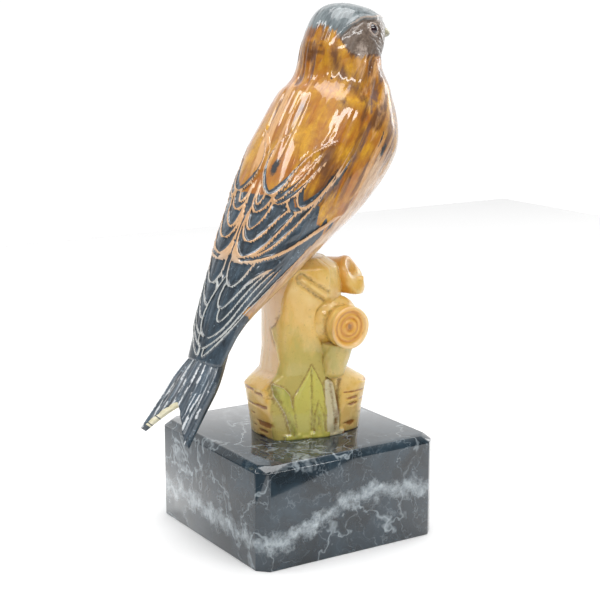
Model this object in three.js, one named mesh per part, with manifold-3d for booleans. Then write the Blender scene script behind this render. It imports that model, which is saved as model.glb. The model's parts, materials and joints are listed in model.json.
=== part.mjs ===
// A painted resin finch on a tree stump, cast as one, on a chamfered plinth of black marble.
// Millimetres, +Z up. The origin is the middle of the plinth's underside. The plinth's sides
// run along X and Y. The bird looks towards +X, turned a little to its left.
import * as THREE from 'three';
import { mergeVertices } from 'three/addons/utils/BufferGeometryUtils.js';
import Module from 'manifold-3d';

const wasm = await Module();
wasm.setup();

// Driving sizes of the plinth
const plinthLength = 70;
const plinthWidth = 70;
const plinthHeight = 35;
const plinthCornerChamfer = 3.5;
const plinthTopChamfer = 2;

// Driving sizes of the casting. Its pose and carving are shares of its own height, in hundredths.
const figureHeight = 144;
const birdTurn = THREE.MathUtils.degToRad(10);
const hundredth = figureHeight / 100;

// The bird's body from tail root to face. Each ring has its centre ahead of the stump's axis and
// up from the plinth, the lean of the body there in degrees above level, the ring's half depth
// from back to belly, its half width, and how square its back is (2 is an ellipse).
const bodyRings = [
  { ahead: -27.5, up: 20.8, lean: 52, depth: 1.9, width: 5.8, square: 2.2 }, // tail root
  { ahead: -22.5, up: 29.8, lean: 54, depth: 3.2, width: 7.4, square: 2.5 }, // rump
  { ahead: -13.6, up: 40.2, lean: 54, depth: 7.2, width: 10.2, square: 2.8 }, // loin
  { ahead: -4.0, up: 51.0, lean: 53, depth: 10.9, width: 12.9, square: 2.8 }, // saddle
  { ahead: 5.6, up: 61.4, lean: 53, depth: 14.5, width: 14.7, square: 2.7 }, // back
  { ahead: 13.7, up: 71.8, lean: 60, depth: 15.7, width: 14.4, square: 2.5 }, // shoulder
  { ahead: 15.3, up: 80.8, lean: 76, depth: 12.3, width: 11.0, square: 2.2 }, // neck
  { ahead: 14.9, up: 87.4, lean: 65, depth: 10.8, width: 9.4, square: 2 }, // nape
  { ahead: 16.8, up: 91.8, lean: 42, depth: 9.9, width: 8.8, square: 2 }, // crown
  { ahead: 21.4, up: 92.7, lean: 14, depth: 6.7, width: 7.2, square: 2.3 }, // brow
  { ahead: 25.0, up: 93.4, lean: 0, depth: 3.9, width: 4.0, square: 2.3 }, // face
];
const belly = 2;
const faceBulge = 1.4;
const rumpBulge = 1.5;

// Beak, eyes and brow
const beakLength = 5.4;
const beakHalfHeight = 1.9;
const beakHalfWidth = 1.7;
const beakDroop = 0.2;
const eyeAlong = 0.833;
const eyeSide = 77;
const eyeRadius = 1.35;
const eyeBulge = 0.75;

// Feathers of one wing, from the lowest to the topmost. A feather runs from a root to a tip, each
// given by its share of the body from the tail root and its angle from the middle of the back.
// half is its half width, and bow swings its middle outwards, in degrees.
const feathers = [
  { tip: [0.002, 9], root: [0.34, 100], half: 2.7, bow: 18 }, // primaries
  { tip: [0.02, -2], root: [0.27, 75], half: 4.8, bow: 5 },
  { tip: [0.044, 3], root: [0.25, 72], half: 5.3, bow: -10 },
  { tip: [0.108, 16], root: [0.23, 79], half: 3.2, bow: -14 }, // tertials
  { tip: [0.148, 21], root: [0.3, 74], half: 4.5, bow: -17 },
  { tip: [0.187, 19], root: [0.38, 92], half: 9.5, bow: 2 }, // greater coverts
  { tip: [0.202, 31], root: [0.379, 58], half: 5.9, bow: 0 },
  { tip: [0.197, 21], root: [0.37, 54], half: 6.9, bow: -7 },
  { tip: [0.222, 21], root: [0.358, 70], half: 5.6, bow: -16 }, // median coverts
  { tip: [0.241, 16], root: [0.35, 11], half: 3.9, bow: 4 },
  { tip: [0.269, 15], root: [0.33, 17], half: 3.6, bow: 0 },
  { tip: [0.3, 55], root: [0.47, 60], half: 4.4, bow: 0 }, // shoulder
  { tip: [0.291, 33], root: [0.42, 47], half: 3.6, bow: 0 },
  { tip: [0.3, 23], root: [0.458, 59], half: 6.4, bow: -17 },
];
const featherForm = { blunt: 2, rootRise: -0.5, tipRise: 0.5, tilt: 0.14 };
const bladeDepth = 1.3;
const bladeSteps = 6;
const bladeColumnWidth = 2.2;

// The forked tail, a thick fan that starts inside the rump
const tailRoot = { ahead: -26.4, up: 24.2 };
const tailTip = { ahead: -40.6, up: 6.2 };
const tailHalfWidth = [3.8, 6.2, 6.7, 7.2];
const tailThickness = [2.2, 1.7];
const tailArch = 1.1;
const tailTwist = 6;
const tailNotch = 0.64;
const tailQuills = 7;
const quillRise = 0.3;

// The stump, level by level: how far up, half length, half width on the bird's right and on its
// left, how square the right side is, and how far out the flat panel on that side lies
const stumpCentre = 1.4;
const panelDirection = -104;
const leftSquare = 2.4;
const stumpLevels = [
  { up: 0, length: 12.5, right: 10.6, left: 8, square: 4, panel: 10.4 },
  { up: 6, length: 13.2, right: 11.2, left: 8.5, square: 4, panel: 9.8 },
  { up: 12, length: 14.2, right: 12.1, left: 9.1, square: 4, panel: 8.8 },
  { up: 14.8, length: 9.9, right: 9.4, left: 8.9, square: 3, panel: 8.3 },
  { up: 20, length: 9.1, right: 8.8, left: 8.7, square: 2.6, panel: 7.7 },
  { up: 28, length: 9, right: 8.6, left: 8.6, square: 2.5, panel: 7.4 },
  { up: 35, length: 9.4, right: 8.8, left: 8.8, square: 2.4, panel: 7.8 },
  { up: 39.5, length: 8.6, right: 8, left: 8, square: 2.3, panel: 7.6 },
  { up: 41.6, length: 5.4, right: 5, left: 5, square: 2, panel: 5 },
];
const stumpSides = 32;

// Cut branches on the stump: the round one with year rings, the slanted one above it, the bracket
// under the round one, and a twig
const ringStub = { ahead: 6.6, up: 26.1, reach: 14, radius: 5, collar: 4.7, flare: 6.6, sides: 20 };
const knob = { ahead: 13.6, up: 36.4, aside: -5.4, length: 12, turn: -54, tilt: 2, sides: 9 };
const knobNeck = 4;
const knobEnd = 4.6;
const knobSlant = 1.8;
const knobChamfer = 1.1;
const bracketHead = { ahead: 5.8, aside: -9.6, up: 22, length: 4.1, width: 3.4 };
const bracketFoot = { ahead: 4.7, aside: -8.8, up: 13.4, length: 2.4, width: 2.2 };
const twig = { from: [-3.6, -8.6, 36.4], to: [2.8, -8.9, 32.9], radius: 0.9 };

// Leaves on the stump's foot: direction in degrees and height of tip and root, and half width
const leaves = [
  { tip: [-155, 13.6], root: [-127, 0.4], half: 1.9 },
  { tip: [-106, 17], root: [-115, 0.4], half: 4.3 },
  { tip: [-97, 8.4], root: [-97, 0.4], half: 2 },
  { tip: [-82, 13], root: [-82, 0.4], half: 1.9 },
  { tip: [60, 13], root: [78, 0.4], half: 2.6 },
  { tip: [118, 11], root: [104, 0.4], half: 2.4 },
];

const leafForm = { blunt: 2.2, rootRise: 0.6, tipRise: 0.45, tilt: 0 };

// Points of a finished piece closer than this are one point
const weldLength = 0.008;

const radians = THREE.MathUtils.degToRad;
const lerp = THREE.MathUtils.lerp;

// A smooth run through evenly spaced values, at a share from 0 to 1
function through(values, share) {
  const last = values.length - 1;
  const place = THREE.MathUtils.clamp(share, 0, 1) * last;
  const i = Math.min(Math.floor(place), last - 1);
  const f = place - i;
  const b = values[i];
  const c = values[i + 1];
  const a = i > 0 ? values[i - 1] : 2 * b - c;
  const d = i < last - 1 ? values[i + 2] : 2 * c - b;
  return 0.5 * (2 * b + (c - a) * f + (2 * a - 5 * b + 4 * c - d) * f * f + (3 * b - a - 3 * c + d) * f ** 3);
}

const ringValue = (name, along) => through(bodyRings.map((ring) => ring[name]), along);

// Radius of a rounded rectangle of half sizes a and b, in a direction
function squaredRadius(angle, a, b, power) {
  const c = Math.abs(Math.cos(angle) / a);
  const s = Math.abs(Math.sin(angle) / b);
  return (c ** power + s ** power) ** (-1 / power);
}

// A point of the body: along is the share from tail root to face, side the angle from the middle
// of the back, in radians, towards the bird's left
function bodyPoint(along, side) {
  const lean = radians(ringValue('lean', along));
  const square = Math.cos(side) > 0 ? ringValue('square', along) : belly;
  const c = Math.cos(side);
  const s = Math.sin(side);
  const reach = (Math.abs(c) ** square + Math.abs(s) ** square) ** (-1 / square);
  const out = c * reach * ringValue('depth', along);
  const point = new THREE.Vector3(
    ringValue('ahead', along) - Math.sin(lean) * out,
    s * reach * ringValue('width', along),
    ringValue('up', along) + Math.cos(lean) * out,
  );
  return point.multiplyScalar(hundredth);
}

// A point of the stump: direction in radians, height in hundredths
function stumpPoint(direction, up) {
  const top = stumpLevels.at(-1).up;
  const level = stumpLevels.findIndex((next) => next.up >= Math.min(up, top));
  const high = stumpLevels[Math.max(level, 1)];
  const low = stumpLevels[Math.max(level, 1) - 1];
  const f = (up - low.up) / (high.up - low.up);
  const mix = (name) => lerp(low[name], high[name], f);
  const onLeft = Math.sin(direction) > 0;
  const round = squaredRadius(
    direction,
    mix('length'),
    onLeft ? mix('left') : mix('right'),
    onLeft ? leftSquare : mix('square'),
  );
  const facing = Math.cos(direction - radians(panelDirection));
  const radius = facing > 0 ? Math.min(round, mix('panel') / facing) : round;
  const x = stumpCentre + radius * Math.cos(direction);
  return new THREE.Vector3(x, radius * Math.sin(direction), up).multiplyScalar(hundredth);
}

// A closed mesh from rings of points, with flat ends
function loft(rings) {
  const sides = rings[0].length;
  const points = rings.flat();
  const faces = [];
  for (let r = 0; r < rings.length - 1; r++) {
    for (let i = 0; i < sides; i++) {
      const a = r * sides + i;
      const b = r * sides + ((i + 1) % sides);
      faces.push(a, b, b + sides, a, b + sides, a + sides);
    }
  }
  for (let i = 1; i < sides - 1; i++) {
    const top = (rings.length - 1) * sides;
    faces.push(0, i + 1, i, top, top + i, top + i + 1);
  }
  return geometryOf(points, faces);
}

// A closed mesh from a grid of top points and the grid of points under them
function slab(top, under) {
  const rows = top.length;
  const columns = top[0].length;
  const points = [...top.flat(), ...under.flat()];
  const below = rows * columns;
  const faces = [];
  const quad = (a, b, c, d) => faces.push(a, b, c, a, c, d);
  for (let r = 0; r < rows - 1; r++) {
    for (let c = 0; c < columns - 1; c++) {
      const a = r * columns + c;
      quad(a, a + 1, a + 1 + columns, a + columns);
      quad(a + below, a + columns + below, a + 1 + columns + below, a + 1 + below);
    }
  }
  for (let r = 0; r < rows - 1; r++) {
    const a = r * columns;
    const b = a + columns - 1;
    quad(a, a + columns, a + columns + below, a + below);
    quad(b, b + below, b + columns + below, b + columns);
  }
  for (let c = 0; c < columns - 1; c++) {
    const b = (rows - 1) * columns + c;
    quad(c, c + below, c + 1 + below, c + 1);
    quad(b, b + 1, b + 1 + below, b + below);
  }
  return geometryOf(points, faces);
}

function geometryOf(points, faces) {
  const geometry = new THREE.BufferGeometry();
  geometry.setAttribute('position', new THREE.Float32BufferAttribute(points.flatMap((p) => p.toArray()), 3));
  geometry.setIndex(faces);
  return geometry;
}

// The mesh as a solid that can be joined and cut, turned right side out if need be
function solid(geometry) {
  const bare = geometry.clone();
  bare.deleteAttribute('normal');
  bare.deleteAttribute('uv');
  const merged = mergeVertices(bare, 1e-5);
  const positions = merged.attributes.position.array;
  const index = Uint32Array.from(merged.index.array);
  const corner = (k) => new THREE.Vector3().fromArray(positions, 3 * index[k]);
  let volume = 0;
  for (let k = 0; k < index.length; k += 3) {
    volume += corner(k).dot(corner(k + 1).cross(corner(k + 2)));
  }
  if (volume < 0) {
    for (let k = 0; k < index.length; k += 3) {
      [index[k], index[k + 1]] = [index[k + 1], index[k]];
    }
  }
  return new wasm.Manifold(new wasm.Mesh({ numProp: 3, vertProperties: positions, triVerts: index }));
}

// The faces of the largest connected surface, which leaves out pockets sealed inside
function outerFaces(index, count) {
  const parent = Uint32Array.from({ length: count }, (_, i) => i);
  const find = (i) => {
    while (parent[i] !== i) {
      parent[i] = parent[parent[i]];
      i = parent[i];
    }
    return i;
  };
  for (let k = 0; k < index.length; k += 3) {
    parent[find(index[k])] = find(index[k + 1]);
    parent[find(index[k + 1])] = find(index[k + 2]);
  }
  const sizes = new Map();
  for (let k = 0; k < index.length; k += 3) {
    const group = find(index[k]);
    sizes.set(group, (sizes.get(group) ?? 0) + 1);
  }
  const largest = [...sizes].sort((a, b) => b[1] - a[1])[0][0];
  const faces = [];
  for (let k = 0; k < index.length; k += 3) {
    if (find(index[k]) === largest) faces.push(index[k], index[k + 1], index[k + 2]);
  }
  return faces;
}

// The solid's surface, with slivers shorter than the weld closed up
function geometryFrom(shape, weld = 0) {
  const { vertProperties, triVerts } = shape.getMesh();
  const geometry = new THREE.BufferGeometry();
  geometry.setAttribute('position', new THREE.BufferAttribute(Float32Array.from(vertProperties), 3));
  geometry.setIndex(outerFaces(triVerts, vertProperties.length / 3));
  if (!weld) return geometry;
  const merged = mergeVertices(geometry, weld);
  const faces = [];
  for (let k = 0; k < merged.index.count; k += 3) {
    const [a, b, c] = merged.index.array.slice(k, k + 3);
    if (a !== b && b !== c && c !== a) faces.push(a, b, c);
  }
  merged.setIndex(faces);
  return merged;
}

function meshOf(name, shape, look) {
  const geometry = geometryFrom(shape, weldLength);
  geometry.computeVertexNormals();
  const mesh = new THREE.Mesh(geometry, new THREE.MeshStandardMaterial(look));
  mesh.name = name;
  return mesh;
}

// The plain body, with a rounded end at the face and at the tail
function body() {
  const stations = 31;
  const sides = 25;
  const endSteps = 3;
  const ringAt = (along) => Array.from({ length: sides }, (_, i) => bodyPoint(along, (2 * Math.PI * i) / sides));
  const rings = Array.from({ length: stations + 1 }, (_, i) => ringAt(i / stations));
  const closing = (end, bulge) => {
    const middle = new THREE.Vector3(end.ahead, 0, end.up).multiplyScalar(hundredth);
    const lean = radians(end.lean);
    const forward = new THREE.Vector3(Math.cos(lean), 0, Math.sin(lean)).multiplyScalar(bulge * hundredth);
    const rim = ringAt(end === bodyRings[0] ? 0 : 1);
    return Array.from({ length: endSteps - 1 }, (_, i) => {
      const turn = ((i + 1) / endSteps) * (Math.PI / 2);
      return rim.map((p) =>
        p.clone().sub(middle).multiplyScalar(Math.cos(turn)).add(middle).addScaledVector(forward, Math.sin(turn)),
      );
    });
  };
  const tailEnd = closing(bodyRings[0], -rumpBulge).reverse();
  return solid(loft([...tailEnd, ...rings, ...closing(bodyRings.at(-1), faceBulge)]));
}

// Points of a feather-like blade that lies on a surface. centre(f) gives the two surface
// coordinates at a share f from root to tip; surface turns those into a point. The form says how
// blunt the tip is, how high the root and the tip stand, and how much the outer edge is tilted up.
function bladeOn(surface, centre, half, degreesToLength, form) {
  const top = [];
  const under = [];
  const columns = Math.max(3, Math.round((2 * half) / bladeColumnWidth));
  for (let i = 0; i <= bladeSteps; i++) {
    const f = i / bladeSteps;
    const [u, v] = centre(f);
    const wide = half * (0.7 + 0.3 * f) * Math.sqrt(1 - (0.985 * f) ** form.blunt);
    const topRow = [];
    const underRow = [];
    for (let j = 0; j <= columns; j++) {
      const across = (2 * j) / columns - 1;
      const [base, normal] = surface(u, v + (across * wide) / degreesToLength(u));
      const outwards = across * Math.sign(v);
      const rise = lerp(form.rootRise, form.tipRise, f * (2 - f)) + form.tilt * outwards;
      topRow.push(base.clone().addScaledVector(normal, rise * hundredth));
      underRow.push(base.clone().addScaledVector(normal, -bladeDepth * hundredth));
    }
    top.push(topRow);
    under.push(underRow);
  }
  return solid(slab(top, under));
}

// A surface with its outward direction, measured by two small steps
function withNormal(point, inside) {
  const step = 1e-3;
  return (u, v) => {
    const base = point(u, v);
    const du = point(u + step, v).sub(point(u - step, v));
    const dv = point(u, v + step).sub(point(u, v - step));
    const normal = du.cross(dv).normalize();
    if (normal.dot(base.clone().sub(inside(u))) < 0) normal.negate();
    return [base, normal];
  };
}

const bodySurface = withNormal(
  (along, side) => bodyPoint(along, radians(side)),
  (along) => new THREE.Vector3(ringValue('ahead', along), 0, ringValue('up', along)).multiplyScalar(hundredth),
);
const stumpSurface = withNormal(
  (up, direction) => stumpPoint(radians(direction), up),
  (up) => new THREE.Vector3(stumpCentre, 0, up).multiplyScalar(hundredth),
);

function featherBlades() {
  const perDegree = (along) => (radians(1) * (ringValue('depth', along) + ringValue('width', along))) / 2;
  return feathers.flatMap(({ tip, root, half, bow }) =>
    [1, -1].map((hand) => {
      const centre = (f) => [
        lerp(root[0], tip[0], f),
        hand * (lerp(root[1], tip[1], f) + bow * Math.sin(Math.PI * f)),
      ];
      return bladeOn(bodySurface, centre, half, perDegree, featherForm);
    }),
  );
}

// A point of the tail's upper face: share from root to tip, and how far across from -1 to 1
function tailPoint(share, across, drop) {
  const root = new THREE.Vector2(tailRoot.ahead, tailRoot.up);
  const tip = new THREE.Vector2(tailTip.ahead, tailTip.up);
  const run = tip.clone().sub(root);
  const out = new THREE.Vector2(run.y, -run.x).normalize();
  const half = through(tailHalfWidth, share);
  const twist = radians(tailTwist) * share;
  const flat = across * half;
  const ridge = quillRise * Math.abs(Math.sin((across * tailQuills * Math.PI) / 2));
  const rise = ridge - tailArch * across ** 2 - drop;
  const aside = flat * Math.cos(twist) - rise * Math.sin(twist);
  const lift = flat * Math.sin(twist) + rise * Math.cos(twist);
  const place = root.addScaledVector(run, share).addScaledVector(out, lift);
  return new THREE.Vector3(place.x, aside, place.y).multiplyScalar(hundredth);
}

function tail() {
  const columns = tailQuills * 2;
  const rows = 8;
  const grid = (dropAt) =>
    Array.from({ length: rows + 1 }, (_, r) =>
      Array.from({ length: columns + 1 }, (_, c) => {
        const across = (2 * c) / columns - 1;
        const end = lerp(tailNotch, 1, Math.abs(across) ** 1.3);
        return tailPoint((r / rows) * end, across, dropAt((r / rows) * end));
      }),
    );
  const thick = (share) => lerp(tailThickness[0], tailThickness[1], share);
  return solid(slab(grid(() => 0), grid(thick)));
}

// The short, deep beak, a loft of ellipses that shrink to a blunt point
function beak() {
  const steps = 6;
  const sides = 12;
  const start = bodyRings.at(-1);
  const rings = [];
  for (let i = 0; i <= steps; i++) {
    const f = i / steps;
    const size = Math.sqrt(1 - (0.97 * f) ** 1.6);
    rings.push(
      Array.from({ length: sides }, (_, k) => {
        const angle = (2 * Math.PI * k) / sides;
        return new THREE.Vector3(
          start.ahead + beakLength * f,
          beakHalfWidth * size * Math.cos(angle),
          start.up - beakDroop * (1 + f) + beakHalfHeight * size * Math.sin(angle),
        ).multiplyScalar(hundredth);
      }),
    );
  }
  return solid(loft(rings));
}

function eye(hand) {
  const [base, normal] = bodySurface(eyeAlong, hand * eyeSide);
  const ball = new THREE.SphereGeometry(eyeRadius * hundredth, 12, 8);
  const sunk = (eyeRadius - eyeBulge) * hundredth;
  ball.translate(...base.addScaledVector(normal, -sunk).toArray());
  return solid(ball);
}

function stump() {
  const rings = stumpLevels.map((level) =>
    Array.from({ length: stumpSides }, (_, i) => stumpPoint((2 * Math.PI * i) / stumpSides, level.up)),
  );
  return solid(loft(rings));
}

// The round branch stub points to the bird's right and ends in stepped year rings
function ringStubSolid() {
  const { radius, collar, flare, reach, sides } = ringStub;
  const profile = [
    [0, 0],
    [flare, 0],
    [flare, reach * 0.5],
    [collar, reach * 0.68],
    [collar, reach * 0.74],
    [radius, reach * 0.79],
    [radius, reach * 0.97],
    [radius * 0.93, reach],
    [radius * 0.8, reach],
    [radius * 0.72, reach * 0.965],
    [radius * 0.42, reach * 0.965],
    [radius * 0.34, reach],
    [0, reach],
  ].map(([r, y]) => new THREE.Vector2(r * hundredth, y * hundredth));
  const stub = new THREE.LatheGeometry(profile, sides);
  stub.rotateX(Math.PI);
  stub.translate(ringStub.ahead * hundredth, 0, ringStub.up * hundredth);
  return solid(stub);
}

// The thick branch widens towards its end, which is sawn off at a slant
function knobSolid() {
  const ringOf = (along, radius, slant) =>
    Array.from({ length: knob.sides }, (_, i) => {
      const angle = (2 * Math.PI * i) / knob.sides;
      const c = Math.cos(angle);
      const s = Math.sin(angle);
      return new THREE.Vector3(along - slant * s, radius * c, radius * s)
        .applyAxisAngle(new THREE.Vector3(0, 1, 0), -radians(knob.tilt))
        .applyAxisAngle(new THREE.Vector3(0, 0, 1), radians(knob.turn))
        .add(new THREE.Vector3(knob.ahead, knob.aside, knob.up))
        .multiplyScalar(hundredth);
    });
  return solid(
    loft([
      ringOf(-knob.length, knobNeck, 0),
      ringOf(-knobChamfer, knobEnd, knobSlant),
      ringOf(0, knobEnd - knobChamfer, knobSlant),
    ]),
  );
}

// The bracket under the round stub tapers down onto the trunk
function bracketSolid() {
  const sides = 12;
  const ringOf = ({ ahead, aside, up, length, width }) =>
    Array.from({ length: sides }, (_, i) => {
      const angle = (2 * Math.PI * i) / sides;
      return new THREE.Vector3(
        ahead + length * Math.cos(angle),
        aside + width * Math.sin(angle),
        up,
      ).multiplyScalar(hundredth);
    });
  return solid(loft([ringOf(bracketFoot), ringOf(bracketHead)]));
}

function twigSolid() {
  const from = new THREE.Vector3(...twig.from).multiplyScalar(hundredth);
  const to = new THREE.Vector3(...twig.to).multiplyScalar(hundredth);
  const rod = new THREE.CapsuleGeometry(twig.radius * hundredth, from.distanceTo(to), 3, 8);
  rod.applyQuaternion(
    new THREE.Quaternion().setFromUnitVectors(new THREE.Vector3(0, 1, 0), to.clone().sub(from).normalize()),
  );
  rod.translate(...from.add(to).multiplyScalar(0.5).toArray());
  return solid(rod);
}

function leafBlades() {
  return leaves.map((leaf) => {
    const centre = (f) => [lerp(leaf.root[1], leaf.tip[1], f), lerp(leaf.root[0], leaf.tip[0], f)];
    const perDegree = () => radians(1) * stumpLevels[0].right;
    return bladeOn(stumpSurface, centre, leaf.half, perDegree, leafForm);
  });
}

function turned(shape, angle) {
  const geometry = geometryFrom(shape);
  geometry.rotateZ(angle);
  return solid(geometry);
}

function birdOnStump() {
  const bird = [body(), tail(), beak(), eye(1), eye(-1), ...featherBlades()].reduce((a, b) => a.add(b));
  const wood = [stump(), ringStubSolid(), knobSolid(), bracketSolid(), twigSolid(), ...leafBlades()].reduce(
    (a, b) => a.add(b),
  );
  return wood.add(turned(bird, birdTurn));
}

function marblePlinth() {
  const outline = (inset, z) => {
    const x = plinthLength / 2 - inset;
    const y = plinthWidth / 2 - inset;
    const c = plinthCornerChamfer;
    const corners = [
      [x, y - c],
      [x - c, y],
      [c - x, y],
      [-x, y - c],
      [-x, c - y],
      [c - x, -y],
      [x - c, -y],
      [x, c - y],
    ];
    return corners.map(([px, py]) => new THREE.Vector3(px, py, z));
  };
  return solid(
    loft([outline(0, 0), outline(0, plinthHeight - plinthTopChamfer), outline(plinthTopChamfer, plinthHeight)]),
  );
}

const trophy = new THREE.Group();
trophy.add(
  meshOf('marble_plinth', marblePlinth(), { color: 0x2b3742, roughness: 0.12, metalness: 0 }),
);
const casting = meshOf('bird_on_stump', birdOnStump(), { color: 0xb98738, roughness: 0.2, metalness: 0 });
casting.position.z = plinthHeight;
trophy.add(casting);

export default trophy;
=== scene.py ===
# %% [markdown]
# # A resin bird trophy, step by step
# The trophy is two separate things: a songbird on a tree stump, cast in one piece of resin,
# painted by hand and lacquered, and a block of polished black marble under it. This lesson
# starts from the measured solids of both, and gives them the relief and the finish that a
# caster, a painter and a stone mason would have left on them.

# %% Load the measured solids
import json
import math

import bmesh
import bpy
import numpy as np
from mathutils.kdtree import KDTree
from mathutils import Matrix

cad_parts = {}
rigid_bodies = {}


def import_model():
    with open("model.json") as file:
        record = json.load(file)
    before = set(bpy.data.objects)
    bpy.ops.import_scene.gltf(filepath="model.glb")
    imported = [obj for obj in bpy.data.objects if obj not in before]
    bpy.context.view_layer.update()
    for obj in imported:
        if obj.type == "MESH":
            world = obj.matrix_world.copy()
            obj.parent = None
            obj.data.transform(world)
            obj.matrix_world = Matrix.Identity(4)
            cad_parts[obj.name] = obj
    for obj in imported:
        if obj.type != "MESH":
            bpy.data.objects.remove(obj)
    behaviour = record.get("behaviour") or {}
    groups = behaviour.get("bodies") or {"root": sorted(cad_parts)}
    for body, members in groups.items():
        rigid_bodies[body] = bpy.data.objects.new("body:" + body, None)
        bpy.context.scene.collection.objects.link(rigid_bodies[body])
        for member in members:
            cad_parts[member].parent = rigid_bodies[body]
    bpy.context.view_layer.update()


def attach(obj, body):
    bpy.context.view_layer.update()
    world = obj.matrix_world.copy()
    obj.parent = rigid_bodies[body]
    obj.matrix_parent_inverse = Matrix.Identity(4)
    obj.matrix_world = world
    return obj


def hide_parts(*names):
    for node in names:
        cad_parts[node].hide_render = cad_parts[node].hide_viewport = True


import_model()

# %% [markdown]
# ## One unit for carving
# The casting is 144 mm tall above the plinth. Its pose and its carving are written in hundredths
# of that height, so the whole figure would grow evenly if its height changed. Blender works in
# metres, so points are made in millimetres and turned to metres once, when a mesh is made.

# %% Units and small helpers
MILLIMETRE = 0.001
FIGURE_HEIGHT = 144.0
HUNDREDTH = FIGURE_HEIGHT / 100
PLINTH_HEIGHT = 35.0
BIRD_TURN = math.radians(10)


def between(low, high, share):
    return low + (high - low) * share


def smooth_step(low, high, value):
    share = np.clip((value - low) / (high - low), 0, 1)
    return share * share * (3 - 2 * share)


def ridge(distance, width):
    """1 on a line, falling off smoothly on both sides of it over about this width."""
    return np.exp(-((distance / width) ** 2))


def together(*parts):
    """Values side by side: x, y and z of points, or the four channels of a mask."""
    return np.stack(np.broadcast_arrays(*parts), -1)


def through(values, share):
    """A smooth run through evenly spaced values, at shares from 0 to 1."""
    values = np.asarray(values, float)
    place = np.clip(share, 0, 1) * (len(values) - 1)
    i = np.minimum(np.floor(place).astype(int), len(values) - 2)
    f = place - i
    padded = np.concatenate([[2 * values[0] - values[1]], values, [2 * values[-1] - values[-2]]])
    a, b, c, d = (padded[i + k] for k in range(4))
    return 0.5 * (2 * b + (c - a) * f + (2 * a - 5 * b + 4 * c - d) * f**2 + (3 * b - a - 3 * c + d) * f**3)


print("A hundredth of the figure is", HUNDREDTH, "mm")

# %% [markdown]
# ## Random, but the same each time
# Hand carving is never quite even. Smooth noise gives that unevenness: a table of random heights,
# one unit apart, with soft slopes between them. A fixed seed gives the same table on every run.
# Stretching one of its two directions turns round bumps into the long streaks of a plumage.


# %% Smooth noise on a sheet
def hills(x, y, seed):
    """Smooth random values from 0 to 1, with features about one unit apart."""
    table = np.random.RandomState(seed).rand(128, 128)
    x, y = np.broadcast_arrays(x, y)
    ix, iy = np.floor(x).astype(int), np.floor(y).astype(int)
    fx, fy = x - ix, y - iy
    fx, fy = fx * fx * (3 - 2 * fx), fy * fy * (3 - 2 * fy)
    low = between(table[ix % 128, iy % 128], table[(ix + 1) % 128, iy % 128], fx)
    high = between(table[ix % 128, (iy + 1) % 128], table[(ix + 1) % 128, (iy + 1) % 128], fx)
    return between(low, high, fy)


print("Noise at three places:", hills(np.array([0.5, 1.5, 2.5]), 0.5, 1).round(2))

# %% [markdown]
# ## The bird's body
# A carver blocks the body out as one long form from tail root to face, and only then cuts the
# feathers. The rings below are sections through that form: where the middle is, how the body
# leans there, half its depth and width, and how square the back is. They are the solid's own
# rings. A point of the body is found by two numbers, how far along it lies from tail root to
# face, and at what angle round from the middle of the back.

# %% Sections through the body
# ahead, up, lean in degrees, half depth, half width, squareness of the back
BODY_RINGS = [
    (-27.5, 20.8, 52, 1.9, 5.8, 2.2),
    (-22.5, 29.8, 54, 3.2, 7.4, 2.5),
    (-13.6, 40.2, 54, 7.2, 10.2, 2.8),
    (-4.0, 51.0, 53, 10.9, 12.9, 2.8),
    (5.6, 61.4, 53, 14.5, 14.7, 2.7),
    (13.7, 71.8, 60, 15.7, 14.4, 2.5),
    (15.3, 80.8, 76, 12.3, 11.0, 2.2),
    (14.9, 87.4, 65, 10.8, 9.4, 2.0),
    (16.8, 91.8, 42, 9.9, 8.8, 2.0),
    (21.4, 92.7, 14, 6.7, 7.2, 2.3),
    (25.0, 93.4, 0, 3.9, 4.0, 2.3),
]
AHEAD, UP, LEAN, DEPTH, WIDTH, SQUARE = range(6)
BELLY_SQUARE = 2
FACE_BULGE = 1.4
RUMP_BULGE = 1.5
BACK_LENGTH = 149.0


def ring_value(which, along):
    return through([ring[which] for ring in BODY_RINGS], along)


def body_point(along, side):
    """A point in mm. along is a share, side an angle in degrees towards the bird's left."""
    lean = np.radians(ring_value(LEAN, along))
    c, s = np.cos(np.radians(side)), np.sin(np.radians(side))
    square = np.where(c > 0, ring_value(SQUARE, along), BELLY_SQUARE)
    reach = (np.abs(c) ** square + np.abs(s) ** square) ** (-1 / square)
    out = c * reach * ring_value(DEPTH, along)
    ahead = ring_value(AHEAD, along) - np.sin(lean) * out
    aside = s * reach * ring_value(WIDTH, along)
    up = ring_value(UP, along) + np.cos(lean) * out
    return together(ahead, aside, up) * HUNDREDTH


def mm_per_degree(along):
    return math.radians(1) * (ring_value(DEPTH, along) + ring_value(WIDTH, along)) / 2 * HUNDREDTH


print("Round the back at mid body:", round(float(mm_per_degree(0.4) * 360)), "mm")

# %% [markdown]
# ## The feathers, one by one
# On the real wing, long primaries lie lowest, and the tertials, coverts and shoulder feathers
# overlap them like roof tiles. A feather is a line from a root to a tip, bowed a little, and a
# width on both sides. Both wings use the same list, from the lowest feather to the topmost. The
# right wing is laid after the left one, because its tips cross over the left wing's.

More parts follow.
